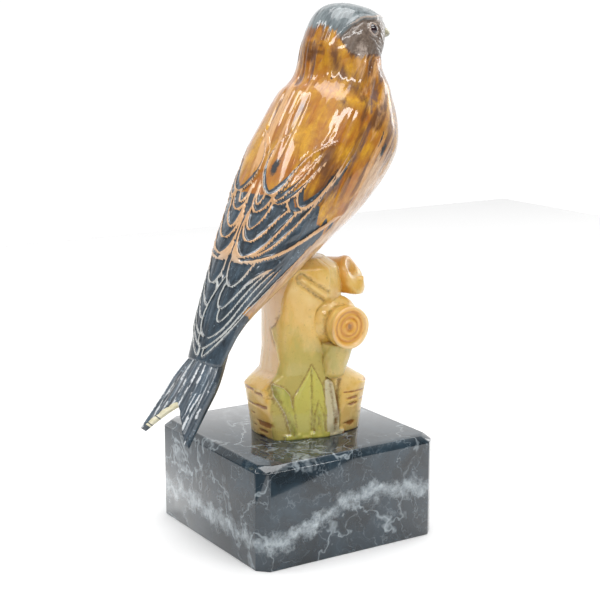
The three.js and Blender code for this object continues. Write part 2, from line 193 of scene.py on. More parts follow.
# %% The list of feathers
# tip and root are a share along the body and degrees from the middle of the back
FEATHERS = [
    {"kind": "primary", "tip": (0.002, 9), "root": (0.34, 100), "half": 2.7, "bow": 18},
    {"kind": "primary", "tip": (0.02, -2), "root": (0.27, 75), "half": 4.8, "bow": 5},
    {"kind": "primary", "tip": (0.044, 3), "root": (0.25, 72), "half": 5.3, "bow": -10},
    {"kind": "primary", "tip": (0.084, 23), "root": (0.244, 75), "half": 2.7, "bow": -8},
    {"kind": "tertial", "tip": (0.108, 16), "root": (0.23, 79), "half": 3.2, "bow": -14},
    {"kind": "tertial", "tip": (0.148, 21), "root": (0.30, 74), "half": 4.5, "bow": -17},
    {"kind": "broad covert", "tip": (0.187, 19), "root": (0.38, 92), "half": 9.5, "bow": 2},
    {"kind": "covert", "tip": (0.202, 31), "root": (0.379, 58), "half": 5.9, "bow": 0},
    {"kind": "covert", "tip": (0.197, 21), "root": (0.37, 54), "half": 6.9, "bow": -7},
    {"kind": "covert", "tip": (0.222, 21), "root": (0.358, 70), "half": 5.6, "bow": -16},
    {"kind": "covert", "tip": (0.241, 16), "root": (0.35, 11), "half": 3.9, "bow": 4},
    {"kind": "covert", "tip": (0.269, 15), "root": (0.33, 17), "half": 3.6, "bow": 0},
    {"kind": "covert", "tip": (0.281, 13), "root": (0.33, 11), "half": 2.0, "bow": 0},
    {"kind": "shoulder", "tip": (0.288, 50), "root": (0.45, 62), "half": 5.4, "bow": 0},
    {"kind": "shoulder", "tip": (0.30, 55), "root": (0.47, 60), "half": 4.4, "bow": 0},
    {"kind": "shoulder", "tip": (0.289, 34), "root": (0.42, 50), "half": 3.8, "bow": 0},
    {"kind": "shoulder", "tip": (0.294, 31), "root": (0.42, 46), "half": 3.2, "bow": 0},
    {"kind": "shoulder", "tip": (0.30, 23), "root": (0.458, 59), "half": 6.4, "bow": -17},
]
RIM_WIDTH = {"primary": 0.5, "tertial": 0.6, "broad covert": 1.4, "covert": 0.75, "shoulder": 0.6}
LOWEST_RISE, TOP_RISE = 0.45, 1.0
EDGE_TILT = 0.12
RIM_HEIGHT = 0.24
CHANNEL_DEPTH = 0.14
# The distance from a feather's edge is kept up to this many rim widths
FARTHEST = 4.0


def feather_half(half, f):
    f = np.clip(f, 0, 1)
    return half * HUNDREDTH * (0.7 + 0.3 * f) * np.sqrt(1 - (0.995 * f) ** 2)


print("Feathers on both wings:", 2 * len(FEATHERS))

# %% [markdown]
# ## Laying the feathers
# Each feather is laid over what is there already, as a sculptor lays strips of wax. It grows out
# of the surface at its root and stands clear of it at its tip. A raised rim runs round its edge,
# with a shallow channel inside. The distance from the edge, in rim widths, is kept for the painter.


# %% Lay one feather over another
def lay_feathers(along, side):
    """Over a grid of the body: height in mm, distance from the feather's edge in rim widths,
    whether it is a shoulder feather, and how far down the feather as a share."""
    grid = np.broadcast_shapes(along.shape, side.shape)
    height, edge, down = np.zeros(grid), np.full(grid, FARTHEST), np.zeros(grid)
    on_shoulder = np.zeros(grid, bool)
    per_degree = mm_per_degree(along)
    for hand in (1, -1):
        for number, feather in enumerate(FEATHERS):
            (tip_along, tip_side), (root_along, root_side) = feather["tip"], feather["root"]
            half, bow, width = feather["half"], feather["bow"], RIM_WIDTH[feather["kind"]]
            f = (along - root_along) / (tip_along - root_along)
            length = abs(tip_along - root_along) * BACK_LENGTH
            half_here = feather_half(half, f)
            narrowing = (feather_half(half, f + 0.005) - half_here) / (0.005 * length)
            middle = between(root_side, tip_side, f) + bow * np.sin(math.pi * np.clip(f, 0, 1))
            drift = (tip_side - root_side + bow * math.pi * np.cos(math.pi * f)) * per_degree / length
            aside = (hand * side - middle) * per_degree
            inside = half_here - np.abs(aside)
            slope = narrowing - np.sign(aside) * drift
            from_edge = inside / np.sqrt(1 + np.minimum(slope**2, 12))
            grown = smooth_step(0.02, 0.45, f)
            rise = between(LOWEST_RISE, TOP_RISE, number / (len(FEATHERS) - 1))
            rim = smooth_step(-0.05, 0.3, from_edge) * (1 - smooth_step(0.8 * width, 1.2 * width, from_edge))
            channel = ridge(from_edge - 1.9 * width, 0.5 * width)
            lift = rise * np.clip(f, 0, 1) ** 0.8 + EDGE_TILT * aside / np.maximum(half_here, 0.3)
            lift = lift + RIM_HEIGHT * rim - CHANNEL_DEPTH * channel
            shown = (inside > 0) & (f > 0) & (f < 1)
            height = np.where(shown, between(height, lift, grown), height)
            faded = np.clip(from_edge / width, 0, FARTHEST) + FARTHEST * (1 - smooth_step(0.08, 0.3, f))
            edge = np.where(shown, np.minimum(faded, FARTHEST), edge)
            down = np.where(shown, np.broadcast_to(f, grid), down)
            on_shoulder = np.where(shown, feather["kind"] == "shoulder", on_shoulder)
    return height, edge, down, on_shoulder


print("Longest feather:", round(max(f["root"][0] - f["tip"][0] for f in FEATHERS) * BACK_LENGTH), "mm")

# %% [markdown]
# ## A grid over the body
# The body's surface becomes a grid of points, close together where the feathers are and further
# apart on the plain belly, so the mesh stays light. The carving is a height over that grid, so it
# is one skin with no loose parts, as it is on a cast figure.


# %% Make the grid and its carving
def spread(*stretches):
    """Numbers from the first to the last of each stretch, at each stretch's own count."""
    parts = [np.linspace(low, high, count, endpoint=False) for low, high, count in stretches]
    return np.concatenate([*parts, [stretches[-1][1]]])


along_rows = spread((0, 0.36, 140), (0.36, 0.55, 46), (0.55, 1, 84))
side_columns = spread((-180, -112, 16), (-112, 112, 160), (112, 180, 16))[:-1]
along_grid, side_grid = np.meshgrid(along_rows, side_columns, indexing="ij")
side_abs = np.abs(side_grid)
around = side_grid * mm_per_degree(along_grid)
lengthwise = along_grid * BACK_LENGTH
feather_height, feather_edge, feather_down, on_shoulder = lay_feathers(
    along_rows[:, None], side_columns[None, :])
print("Body grid:", along_grid.shape, "tallest feather edge", round(float(feather_height.max()), 2), "mm")

# %% [markdown]
# ## Grooves of the plumage
# Where no big feather is carved, the gouge left long shallow grooves that follow the body: over
# the neck, the back and the flanks. Noise stretched about ten times along the body gives them.
# On the cheeks the strokes are short and fine, and a crisp brow runs from the eye to the nape.

# %% Carve the grooves, the cheeks and the brow
wander = 3.0 * hills(lengthwise / 30, around / 12, 3)
streak = hills((around + wander) / 1.5, lengthwise / 17, 11)
fine_streak = hills((around + wander) / 0.9, lengthwise / 9, 12)
on_feather = feather_edge < FARTHEST - 0.01
mantle = smooth_step(0.30, 0.40, along_grid) * (1 - smooth_step(0.70, 0.80, along_grid))
groove = smooth_step(0.40, 0.15, streak)
left_of_nape = smooth_step(-30, -12, side_grid) * smooth_step(0.33, 0.42, along_grid)
flank = smooth_step(-58, -72, side_grid)
groove_depth = 0.10 + 0.28 * np.maximum(left_of_nape, flank)
plumage = -groove_depth * groove * mantle
plumage = plumage - 0.10 * smooth_step(0.5, 0.2, fine_streak) * smooth_step(0.02, 0.1, along_grid)
barbs = hills((around + 1.6 * lengthwise) / 0.6, lengthwise / 2.4, 5)
plumage = plumage - np.where(on_feather & ~on_shoulder, 0.07 * smooth_step(0.6, 0.2, barbs), 0)

brow_side = np.interp(along_grid, [0.70, 0.74, 0.79, 0.86, 0.94, 1.0], [36, 45, 55, 58, 50, 44])
from_brow = (side_abs - brow_side) * mm_per_degree(along_grid)
on_head = smooth_step(0.70, 0.76, along_grid)
cheek_hatch = hills((np.abs(around) - 0.9 * lengthwise) / 0.8, (lengthwise + 0.6 * np.abs(around)) / 3.5, 21)
cheek = smooth_step(0.2, 1.2, from_brow) * smooth_step(0.62, 0.7, along_grid)
plumage = plumage - 0.16 * smooth_step(0.55, 0.2, cheek_hatch) * cheek
brow_ridge = 0.34 * ridge(from_brow + 0.5, 0.8) - 0.45 * ridge(from_brow - 0.9, 0.8)
plumage = plumage + brow_ridge * on_head
cap_stroke = hills((around + 0.8 * lengthwise) / 1.0, lengthwise / 6, 22)
plumage = plumage - 0.12 * smooth_step(0.4, 0.1, cap_stroke) * on_head * (from_brow < 0)
print("Deepest groove", round(float(plumage.min()), 2), "mm")

# %% [markdown]
# ## Round the eyes
# The eye sits in a shallow dish with a raised lid round it. Both are part of the same carved
# height: a ring at a fixed distance from the eye's middle, measured over the surface.

# %% Carve the eye's dish and lid
EYE_ALONG, EYE_SIDE, EYE_RADIUS, EYE_BULGE = 0.833, 77, 1.35, 0.75
eye_middle = body_point(np.array(EYE_ALONG), np.array(float(EYE_SIDE)))
skin = body_point(along_grid, side_grid)
mirrored = skin * np.array([1, 0, 1]) + np.abs(skin) * np.array([0, 1, 0])
from_eye = np.linalg.norm(mirrored - eye_middle, axis=-1)
lid_radius = EYE_RADIUS * HUNDREDTH + 0.15
lid = 0.42 * ridge(from_eye - lid_radius, 0.33)
dish = -0.35 * ridge(from_eye - lid_radius - 0.95, 0.7)
plumage = plumage * smooth_step(lid_radius - 0.3, lid_radius + 1.2, from_eye) + lid + dish
print("Eye lid radius", round(lid_radius, 2), "mm")

# %% [markdown]
# ## Masks for the painter
# The painter does not cover the bird in one colour. Slate goes on the wings and tail, pale paint
# is dragged over the raised feather rims, gold and brown over the back, blue-grey on the cap,
# taupe on the cheeks, and peach on the belly. Each border is kept as a distance in mm on both
# sides of it, squeezed to run from 0 to 1, because a distance stays sharp between mesh points.


# %% Where slate, head and belly begin
BORDER_MM = 8


def from_border(mm):
    """A distance from a border, positive inside, with 0.5 on the border itself."""
    return np.clip(0.5 + mm / BORDER_MM, 0, 1)


per_degree_grid = mm_per_degree(along_grid)
wing_reach = np.interp(along_grid, [0, 0.02, 0.073, 0.11, 0.153, 0.205, 0.253, 0.307, 0.343, 0.42, 0.5],
                       [20, 26, 44, 62, 84, 97, 98, 107, 108, 100, 92])
inside_wing = (wing_reach - side_abs) * per_degree_grid
slate_start = np.interp(side_abs, [0, 20, 60, 80, 100, 110], [0.300, 0.300, 0.318, 0.318, 0.300, 0.290])
ragged = 9 * smooth_step(45, 65, side_abs) * (hills((around + wander) / 1.6, lengthwise / 9, 15) - 0.35)
slate_mm = np.minimum((slate_start - along_grid) * BACK_LENGTH + ragged, inside_wing)
rump_mm = np.minimum((0.115 - along_grid) * BACK_LENGTH, (140 - side_abs) * per_degree_grid)
slate_mm = np.maximum(slate_mm, rump_mm)
band_width = between(1.3, 3.4, smooth_step(0.6, 0.95, feather_down))
tip_band = np.minimum(band_width - feather_edge, (feather_down - 0.5) * 12)
slate_mm = np.where(on_shoulder, tip_band, slate_mm)
slate = from_border(slate_mm)

head_start = np.interp(side_abs, [0, 12, 28, 41, 46, 60, 75, 93, 116, 180],
                       [0.722, 0.738, 0.728, 0.724, 0.705, 0.678, 0.682, 0.715, 0.760, 0.80])
head = from_border((along_grid - head_start) * BACK_LENGTH)
cheek_paint = smooth_step(-0.1, 0.7, from_brow)
flank_belly = smooth_step(0.9, -1.5, inside_wing) * smooth_step(0.52, 0.38, along_grid)
under_belly = smooth_step(112, 140, side_abs)
belly = np.maximum(flank_belly, under_belly) * smooth_step(0.09, 0.14, along_grid)
print("Share of the skin in slate:", round(float((slate > 0.5).mean()), 2))

# %% [markdown]
# ## Single touches of the brush
# Some marks on the back are single touches: brown patches beside the spine and near the nape, and
# a few blue-black dabs. Each is an oval at a known place. Long pale and purple streaks follow the
# body on its left and on its right flank. They come from the noise that also cut the grooves.

# %% Touches and streaks
# share along, degrees round, half length and half width in mm
BROWN_TOUCHES = [
    (0.382, -55, 4.6, 3.0), (0.367, -61, 4.2, 2.6), (0.333, -66, 6.0, 2.6), (0.318, -57, 3.0, 1.6),
    (0.352, -74, 3.2, 1.5), (0.580, -62, 3.4, 2.6), (0.510, -49, 2.8, 1.8), (0.548, -70, 2.6, 1.6),
    (0.700, 36, 4.0, 3.0), (0.650, 39, 4.0, 3.0), (0.655, -39, 5.5, 1.5), (0.613, -50, 3.2, 1.8),
    (0.520, 42, 5.0, 2.4), (0.390, 50, 4.5, 2.6),
]
DARK_TOUCHES = [
    (0.385, -75, 5.0, 0.8), (0.363, -68, 3.0, 0.8), (0.467, -102, 2.2, 1.0), (0.482, -94, 2.4, 0.5),
    (0.347, -16, 2.4, 1.3), (0.597, -35, 0.5, 0.5), (0.330, -68, 4.0, 1.3), (0.306, -62, 3.0, 1.0),
    (0.380, 72, 4.0, 0.8), (0.345, 62, 3.0, 1.2),
]


def touches(marks):
    """The strongest of a list of oval brush marks at each point, from 0 to 1."""
    strongest = np.zeros(along_grid.shape)
    for mark_along, mark_side, half_long, half_wide in marks:
        long_way = (along_grid - mark_along) * BACK_LENGTH / half_long
        wide_way = (side_grid - mark_side) * per_degree_grid / half_wide
        strongest = np.maximum(strongest, np.clip(1.0 - 0.55 * np.hypot(long_way, wide_way), 0, 1))
    return strongest


def stretch(start, full, fading, end):
    """1 along one stretch of the body, with a soft start and a soft end."""
    return smooth_step(start, full, along_grid) * smooth_step(end, fading, along_grid)


brown_mark, dark_mark = touches(BROWN_TOUCHES), touches(DARK_TOUCHES)
ripple = hills(around / 2.4, lengthwise / 1.5, 33)
nape_ripple = smooth_step(0.62, 0.66, along_grid) * smooth_step(32, 20, side_abs)
nape_ripple = nape_ripple * smooth_step(0.4, 0.7, ripple)
nape = smooth_step(0.50, 0.66, along_grid) * smooth_step(0.5, 0.2, hills(around / 5, lengthwise / 9, 35))
brown_mark = np.maximum(brown_mark, 0.6 * np.maximum(nape_ripple, nape))
flank_brown = flank * mantle * smooth_step(0.55, 0.3, hills((around + wander) / 1.8, lengthwise / 11, 36))
brown_mark = np.maximum(brown_mark, 0.75 * flank_brown)
flank_scales = smooth_step(-96, -104, side_grid) * stretch(0.42, 0.47, 0.60, 0.66)
pale_noise = hills((around + wander) / 1.5, lengthwise / 20, 14)
left_back = smooth_step(-34, -20, side_grid) * stretch(0.31, 0.36, 0.50, 0.60)
left_nape = smooth_step(-24, -8, side_grid) * stretch(0.46, 0.55, 0.66, 0.74)
pale_mark = np.maximum(0.8 * left_back, 0.7 * left_nape) * smooth_step(0.55, 0.75, pale_noise)
pale_mark = np.maximum(pale_mark, 0.55 * flank * mantle * smooth_step(0.5, 0.7, pale_noise))
lid_mark = ridge(from_brow + 0.3, 0.45) * on_head * smooth_step(0.72, 0.8, along_grid) * (side_grid < 0)
pale_mark = np.maximum(pale_mark, 0.75 * lid_mark)
purple = groove * mantle * np.maximum(0.75 * np.maximum(flank, left_nape), 0.5 * left_back)
whitish_rim = smooth_step(0.215, 0.150, along_grid)
print("Brown touches:", len(BROWN_TOUCHES), "dark touches:", len(DARK_TOUCHES))

# %% Gather the painter's masks
pale_mark = np.maximum(pale_mark, 0.85 * ridge(from_eye - lid_radius, 0.42))
brown_mark = np.maximum(brown_mark, 0.7 * flank_scales * smooth_step(0.5, 0.3, ripple))
bird_paint = together(slate, feather_edge / FARTHEST, head, belly)
bird_detail = together(purple, cheek_paint, 0, 0)
bird_marks = together(brown_mark, dark_mark, pale_mark, whitish_rim)
print("Masks gathered for", slate.size, "points")


# %% [markdown]
# ## From grids to closed meshes
# A grid that wraps round on itself, with a cap at each end, is a closed skin. One function makes
# every part of the casting so, except the tail, whose ends are filled differently. Closed parts can
# be joined into one solid afterwards. The masks travel with the points in lists, and are matched
# up again by position after joining.

# %% Turn a grid of points into a closed mesh
SLOTS = ["bird", "beak", "eye", "wood", "tail_end"]
BARE = (0.0, 0.0, 0.0, 0.0)
carried_points = []
carried_masks = {"paint": [], "detail": [], "marks": []}


def remember(points, **masks):
    """Keeps the points of a part and its masks, to match them again after joining."""
    carried_points.append(points.reshape(-1, 3))
    for mask_name, kept in carried_masks.items():
        mask = masks.get(mask_name, BARE)
        kept.append(np.broadcast_to(mask, points.shape[:-1] + (4,)).reshape(-1, 4))


def faces_round(grid):
    """The numbers of a grid's points, and the faces between its rows, which run round."""
    number = np.arange(grid[..., 0].size).reshape(grid.shape[:2])
    right = np.roll(number, -1, axis=1)
    quads = np.stack([number[:-1], right[:-1], right[1:], number[1:]], -1)
    return number, quads.reshape(-1, 4).tolist()


def wrapped_mesh(name, grid, slot, turn=0.0, **masks):
    """A closed mesh from rows of points in mm that run round, with a cap at each end."""
    grid = turned(grid, turn)
    remember(grid, **masks)
    number, faces = faces_round(grid)
    faces += [number[0, ::-1].tolist(), number[-1].tolist()]
    return closed_object(name, grid.reshape(-1, 3), faces, slot)


def turned(points, angle):
    """Points turned about the stump's axis, and lifted onto the plinth."""
    c, s = math.cos(angle), math.sin(angle)
    x, y, z = points[..., 0], points[..., 1], points[..., 2]
    return together(c * x - s * y, s * x + c * y, z + PLINTH_HEIGHT)


def closed_object(name, points, faces, slot):
    mesh = bpy.data.meshes.new(name)
    mesh.from_pydata([tuple(p) for p in points * MILLIMETRE], [], faces)
    bm = bmesh.new()
    bm.from_mesh(mesh)
    bmesh.ops.remove_doubles(bm, verts=bm.verts, dist=1e-7)
    bmesh.ops.recalc_face_normals(bm, faces=bm.faces)
    bmesh.ops.triangulate(bm, faces=[f for f in bm.faces if len(f.verts) > 4])
    for face in bm.faces:
        face.material_index = SLOTS.index(slot)
        face.smooth = True
    bm.to_mesh(mesh)
    bm.free()
    for slot_name in SLOTS:
        mesh.materials.append(bpy.data.materials.get(slot_name) or bpy.data.materials.new(slot_name))
    made = bpy.data.objects.new(name, mesh)
    bpy.context.scene.collection.objects.link(made)
    return made


def outward(grid):
    """The outward direction at each point of a wrapped grid."""
    down_rows = np.gradient(grid, axis=0)
    round_rows = np.roll(grid, -1, axis=1) - np.roll(grid, 1, axis=1)
    normal = np.cross(down_rows, round_rows)
    normal /= np.maximum(np.linalg.norm(normal, axis=-1, keepdims=True), 1e-9)
    towards = grid - grid.mean(axis=1, keepdims=True)
    return normal * np.where((normal * towards).sum(-1).mean() < 0, -1, 1)


print("Paints that the casting can take:", SLOTS)

# %% [markdown]
# ## The body's skin
# The height is laid on the body along its outward direction. The two ends are closed by a few
# shrinking rings, so face and rump are rounded rather than cut off.


# %% Build the body
def end_rings(rim_points, ring, bulge, steps=7):
    """Rings that close an end, from just past the rim to a small last one."""
    middle = np.array([ring[AHEAD], 0, ring[UP]]) * HUNDREDTH
    lean = math.radians(ring[LEAN])
    forward = np.array([math.cos(lean), 0, math.sin(lean)]) * bulge * HUNDREDTH
    turns = (np.arange(1, steps) / steps) * math.pi / 2
    return np.stack([middle + (rim_points - middle) * math.cos(t) + forward * math.sin(t) for t in turns])


skin_out = outward(skin)
carved = skin + skin_out * (feather_height + plumage)[..., None]
front = end_rings(carved[-1], BODY_RINGS[-1], FACE_BULGE)
back = end_rings(carved[0], BODY_RINGS[0], -RUMP_BULGE)[::-1]
whole = np.concatenate([back, carved, front])


def with_ends(mask):
    return np.concatenate([np.repeat(mask[:1], len(back), 0), mask, np.repeat(mask[-1:], len(front), 0)])


body = wrapped_mesh("body", whole, "bird", BIRD_TURN, paint=with_ends(bird_paint),
                    detail=with_ends(bird_detail), marks=with_ends(bird_marks))
print("Body:", len(body.data.vertices), "points")

# %% [markdown]
# ## The tail
# The forked tail is a thick fan of narrow feathers, each with a raised spine, ending in a pale
# cut face where the mould left a thick edge. It is a sheet bent a little over its middle and
# twisted, with a top, an underside, and an end strip in a paler paint.

# %% Build the tail
TAIL_ROOT, TAIL_TIP = (-26.4, 24.2), (-40.6, 6.2)
TAIL_HALF = [3.8, 6.2, 6.7, 7.2]
TAIL_THICKNESS = (2.2, 1.7)
TAIL_ARCH, TAIL_TWIST, TAIL_NOTCH, TAIL_SPINES, SPINE_RISE = 1.1, 6, 0.64, 7, 0.3


def tail_point(share, across, drop):
    run = np.array(TAIL_TIP) - np.array(TAIL_ROOT)
    out = np.array([run[1], -run[0]]) / np.linalg.norm(run)
    twist = np.radians(TAIL_TWIST) * share
    flat = across * through(TAIL_HALF, share)
    spine = SPINE_RISE * np.abs(np.sin(across * TAIL_SPINES * math.pi / 2)) ** 0.8
    rise = np.where(drop == 0, spine, 0) - TAIL_ARCH * across**2 - drop
    aside = flat * np.cos(twist) - rise * np.sin(twist)
    lift = flat * np.sin(twist) + rise * np.cos(twist)
    ahead = TAIL_ROOT[0] + run[0] * share + out[0] * lift
    up = TAIL_ROOT[1] + run[1] * share + out[1] * lift
    return together(ahead, aside, up) * HUNDREDTH


across = np.linspace(-1, 1, 91)
tail_end = between(TAIL_NOTCH, 1, np.abs(across) ** 1.3)
rows_down = np.linspace(0, 1, 46)[:, None] * tail_end[None, :]
across_grid = np.broadcast_to(across, rows_down.shape)
thick = between(*TAIL_THICKNESS, rows_down)
top = tail_point(rows_down, across_grid, np.zeros(rows_down.shape))
top[..., 2] += 0.12 * hills(across_grid * 26, rows_down * 14, 31) - 0.06
under = tail_point(rows_down, across_grid, thick)
print("Tail sheet:", rows_down.shape, "end thickness", round(TAIL_THICKNESS[1] * HUNDREDTH, 1), "mm")


# %% Close the tail's edges
def tail_ring(row):
    """One ring round the tail at a row: the top from left to right, then the underside back."""
    side_steps = [0.33, 0.67]
    right = [between(top[row, -1], under[row, -1], s) for s in side_steps]
    left = [between(under[row, 0], top[row, 0], s) for s in side_steps]
    return np.concatenate([top[row], right, under[row][::-1], left])


tail_rings = [tail_ring(row) for row in range(len(top))]
columns = len(across)
spine_mask = np.abs(np.sin(across * TAIL_SPINES * math.pi / 2)) ** 3
broken = smooth_step(0.35, 0.7, hills(across_grid * 9 + 20, rows_down * 9, 32))
top_spines = spine_mask[None, :] * broken
root_patch = smooth_step(0.3, 0.6, hills(across_grid * 3 + 9, rows_down * 12, 34))
root_patch = smooth_step(0.24, 0.06, rows_down) * root_patch
sides = np.zeros((len(top), 2))


def round_tail(mask):
    """A mask of the tail's top, as a mask of the whole ring round it."""
    return np.concatenate([mask, sides, np.zeros(mask.shape), sides], axis=1)


tail_detail = together(0, 0, round_tail(root_patch), round_tail(top_spines))
tail_grid = turned(np.stack(tail_rings), BIRD_TURN)
remember(tail_grid, paint=(1, 1, 0, 0), detail=tail_detail)
number, faces = faces_round(tail_grid)
# Each end is filled with a strip of faces from the top to the underside, whose last point this is
under_last = 2 * columns + 1
for ring, flip in ((number[0].tolist(), False), (number[-1].tolist(), True)):
    for c in range(columns - 1):
        quad = [ring[c], ring[c + 1], ring[under_last - c - 1], ring[under_last - c]]
        faces.append(quad[::-1] if flip else quad)
    faces.append(ring[columns - 1 : columns + 3])
    faces.append([*ring[under_last : under_last + 3], ring[0]])
tail = closed_object("tail", tail_grid.reshape(-1, 3), faces, "bird")
print("Tail:", len(tail.data.vertices), "points")

# %% [markdown]
# ## Beak and eyes
# The seed-eater's beak is a short, deep cone with a gape line between its two halves. The eye is
# a small glossy ball, mostly sunk. Both are closed solids that start inside the head.

# %% Build the beak
BEAK_LENGTH, BEAK_HALF_HEIGHT, BEAK_HALF_WIDTH, BEAK_DROOP = 5.4, 1.9, 1.7, 0.2
beak_rows = np.linspace(-0.25, 1, 26)[:, None]
beak_angle = np.linspace(0, 2 * math.pi, 44, endpoint=False)[None, :]
beak_share = np.clip(beak_rows, 0, 1)
beak_size = np.sqrt(1 - (0.97 * beak_share) ** 1.6)
gape = ridge(np.sin(beak_angle) + 0.12, 0.09) * (1 - 0.8 * beak_share)
beak_radius = beak_size * (1 - 0.10 * gape)
hook = BEAK_DROOP * (1 + beak_share) + 0.35 * beak_share**3
beak_grid = together(
    BODY_RINGS[-1][AHEAD] + BEAK_LENGTH * beak_rows,
    BEAK_HALF_WIDTH * beak_radius * np.cos(beak_angle),
    BODY_RINGS[-1][UP] - hook + BEAK_HALF_HEIGHT * beak_radius * np.sin(beak_angle)) * HUNDREDTH
beak_detail = together(gape, smooth_step(-0.3, 0.1, np.sin(beak_angle)), 0, 0)
beak = wrapped_mesh("beak", beak_grid, "beak", BIRD_TURN, detail=beak_detail)
print("Beak:", round(BEAK_LENGTH * HUNDREDTH, 1), "mm long")


# %% Build the eyes
def ball(middle, radius, steps=15):
    """A ball as a wrapped grid of points in mm."""
    tilt = np.linspace(0.04, math.pi - 0.04, steps)[:, None]
    spin = np.linspace(0, 2 * math.pi, 2 * steps, endpoint=False)[None, :]
    return middle + radius * together(np.sin(tilt) * np.cos(spin), np.sin(tilt) * np.sin(spin), np.cos(tilt))


eyes = []
for hand in (1, -1):
    near_along = EYE_ALONG + np.array([[-1e-3], [0], [1e-3]])
    near = body_point(near_along, hand * EYE_SIDE + np.array([[-0.1, 0, 0.1]]))
    normal = np.cross(near[2, 1] - near[0, 1], near[1, 2] - near[1, 0])
    normal *= np.sign(normal[1] * hand) / np.linalg.norm(normal)
    centre = near[1, 1] - normal * (EYE_RADIUS - EYE_BULGE) * HUNDREDTH
    eyes.append(wrapped_mesh(f"eye_{hand + 1}", ball(centre, EYE_RADIUS * HUNDREDTH), "eye", BIRD_TURN))
print("Eyes:", len(eyes))

# %% [markdown]
# ## The tree stump
# The stump is a squat trunk on a broad foot, with a ledge left and right where thick roots were
# cut off. Its front is one flat panel of peeled wood with a raised, torn edge, and broad leaves
# stand against its foot. It is again a grid that runs round, with the carving as a height.

# %% The stump's plain form
STUMP_CENTRE, PANEL_DIRECTION, LEFT_SQUARE = 1.4, -104, 2.4
# up, half length, half width on the right and on the left, squareness, distance of the panel
STUMP_LEVELS = [
    (0, 12.5, 10.6, 8, 4, 10.4),
    (6, 13.2, 11.2, 8.5, 4, 9.8),
    (12, 14.2, 12.1, 9.1, 4, 8.8),
    (14.8, 9.9, 9.4, 8.9, 3, 8.3),
    (20, 9.1, 8.8, 8.7, 2.6, 7.7),
    (28, 9, 8.6, 8.6, 2.5, 7.4),
    (35, 9.4, 8.8, 8.8, 2.4, 7.8),
    (39.5, 8.6, 8, 8, 2.3, 7.6),
    (41.6, 5.4, 5, 5, 2, 5),
]


def level_value(which, up):
    return np.interp(up, [level[0] for level in STUMP_LEVELS], [level[which] for level in STUMP_LEVELS])


def stump_radius(direction, up):
    """Distance from the axis in hundredths, in a direction in degrees, at a height."""
    c, s = np.cos(np.radians(direction)), np.sin(np.radians(direction))
    half_width = np.where(s > 0, level_value(3, up), level_value(2, up))
    power = np.where(s > 0, LEFT_SQUARE, level_value(4, up))
    lengthways, sideways = np.abs(c) / level_value(1, up), np.abs(s) / half_width
    round_radius = (lengthways**power + sideways**power) ** (-1 / power)
    facing = np.cos(np.radians(direction - PANEL_DIRECTION))
    panel = level_value(5, up) / np.maximum(facing, 0.05)
    return np.where(facing > 0.05, np.minimum(round_radius, panel), round_radius)


wood_up = spread((0, 11.2, 34), (11.2, 15.4, 22), (15.4, 38, 56), (38, 41.6, 12))
wood_direction = spread((-220, -25, 122), (-25, 140, 48))[:-1]
up_grid, direction_grid = np.meshgrid(wood_up, wood_direction, indexing="ij")
radius_grid = stump_radius(direction_grid, up_grid)
for _ in range(2):
    radius_grid = (radius_grid + 0.5 * (np.roll(radius_grid, 1, 1) + np.roll(radius_grid, -1, 1))) / 2
    radius_grid[1:-1] = (2 * radius_grid[1:-1] + radius_grid[:-2] + radius_grid[2:]) / 4


# One degree round the trunk in mm, at its usual radius of nine hundredths
DEGREE_MM = math.radians(1) * 9 * HUNDREDTH


def bark(width, height, seed, shift=0.0):
    """Noise round the trunk, its features this wide and high in mm, meeting itself behind."""
    x = direction_grid * DEGREE_MM + shift
    y = up_grid * HUNDREDTH / height
    met = smooth_step(110, 140, direction_grid)
    return between(hills(x / width, y, seed), hills((x - 360 * DEGREE_MM) / width, y, seed), met)


print("Stump grid:", up_grid.shape)

# %% [markdown]
# ## Bark, panel and leaves
# The raised panel has a left and a right edge that wander with height, and the left one comes to
# a sharp tooth. Inside those edges the wood stands proud. The leaves at the foot are flat shapes
# with a raised edge and a fold down the middle, so each is drawn as an outline on the trunk.

# %% Carve the panel and the cracks
panel_left = np.interp(up_grid, [0, 13, 14.4, 17.6, 20, 23.2, 25.4, 26.2, 29.2, 32.8, 37, 42],
                       [-150, -154, -155, -150, -156, -164, -171, -161, -151, -146, -137, -130])
panel_right = np.interp(up_grid, [0, 14, 17, 21, 22.6, 24.6, 28, 30, 32, 38],
                        [-82, -82, -85, -82, -87, -94, -96, -93, -80, -70])
mm_round = math.radians(1) * radius_grid * HUNDREDTH
from_left = (direction_grid - panel_left) * mm_round
from_right = (panel_right - direction_grid) * mm_round
panel = smooth_step(-0.5, 0.5, from_left) * smooth_step(-0.5, 0.5, from_right) * smooth_step(41, 39, up_grid)
wood_height = 0.7 * panel * smooth_step(9, 14, up_grid) + 0.5 * panel * smooth_step(14, 9, up_grid)
right_groove = ridge(from_right + 0.7, 0.6) * smooth_step(32, 29, up_grid) * smooth_step(11, 14, up_grid)
wood_height -= 0.75 * right_groove
notch = ridge(from_left + 0.6, 0.8) * smooth_step(20, 23, up_grid) * smooth_step(31, 27, up_grid)
wood_height -= 0.4 * notch
wood_height += 0.5 * (bark(6, 9, 41) - 0.5)
grain = bark(1.1, 14, 43, 2 * bark(5, 12, 42))
wood_height -= 0.10 * smooth_step(0.45, 0.2, grain) * (1 - 0.5 * panel)
left_block = smooth_step(-146, -153, direction_grid)
right_block = smooth_step(-72, -64, direction_grid)
low_block = smooth_step(12.8, 11.5, up_grid) * np.maximum(left_block, right_block)
cracks = smooth_step(0.36, 0.2, bark(4.0, 1.1, 45, 1.5 * bark(3, 5, 44))) * low_block
wood_height -= 0.25 * cracks
print("Wood relief from", round(float(wood_height.min()), 2), "to", round(float(wood_height.max()), 2), "mm")


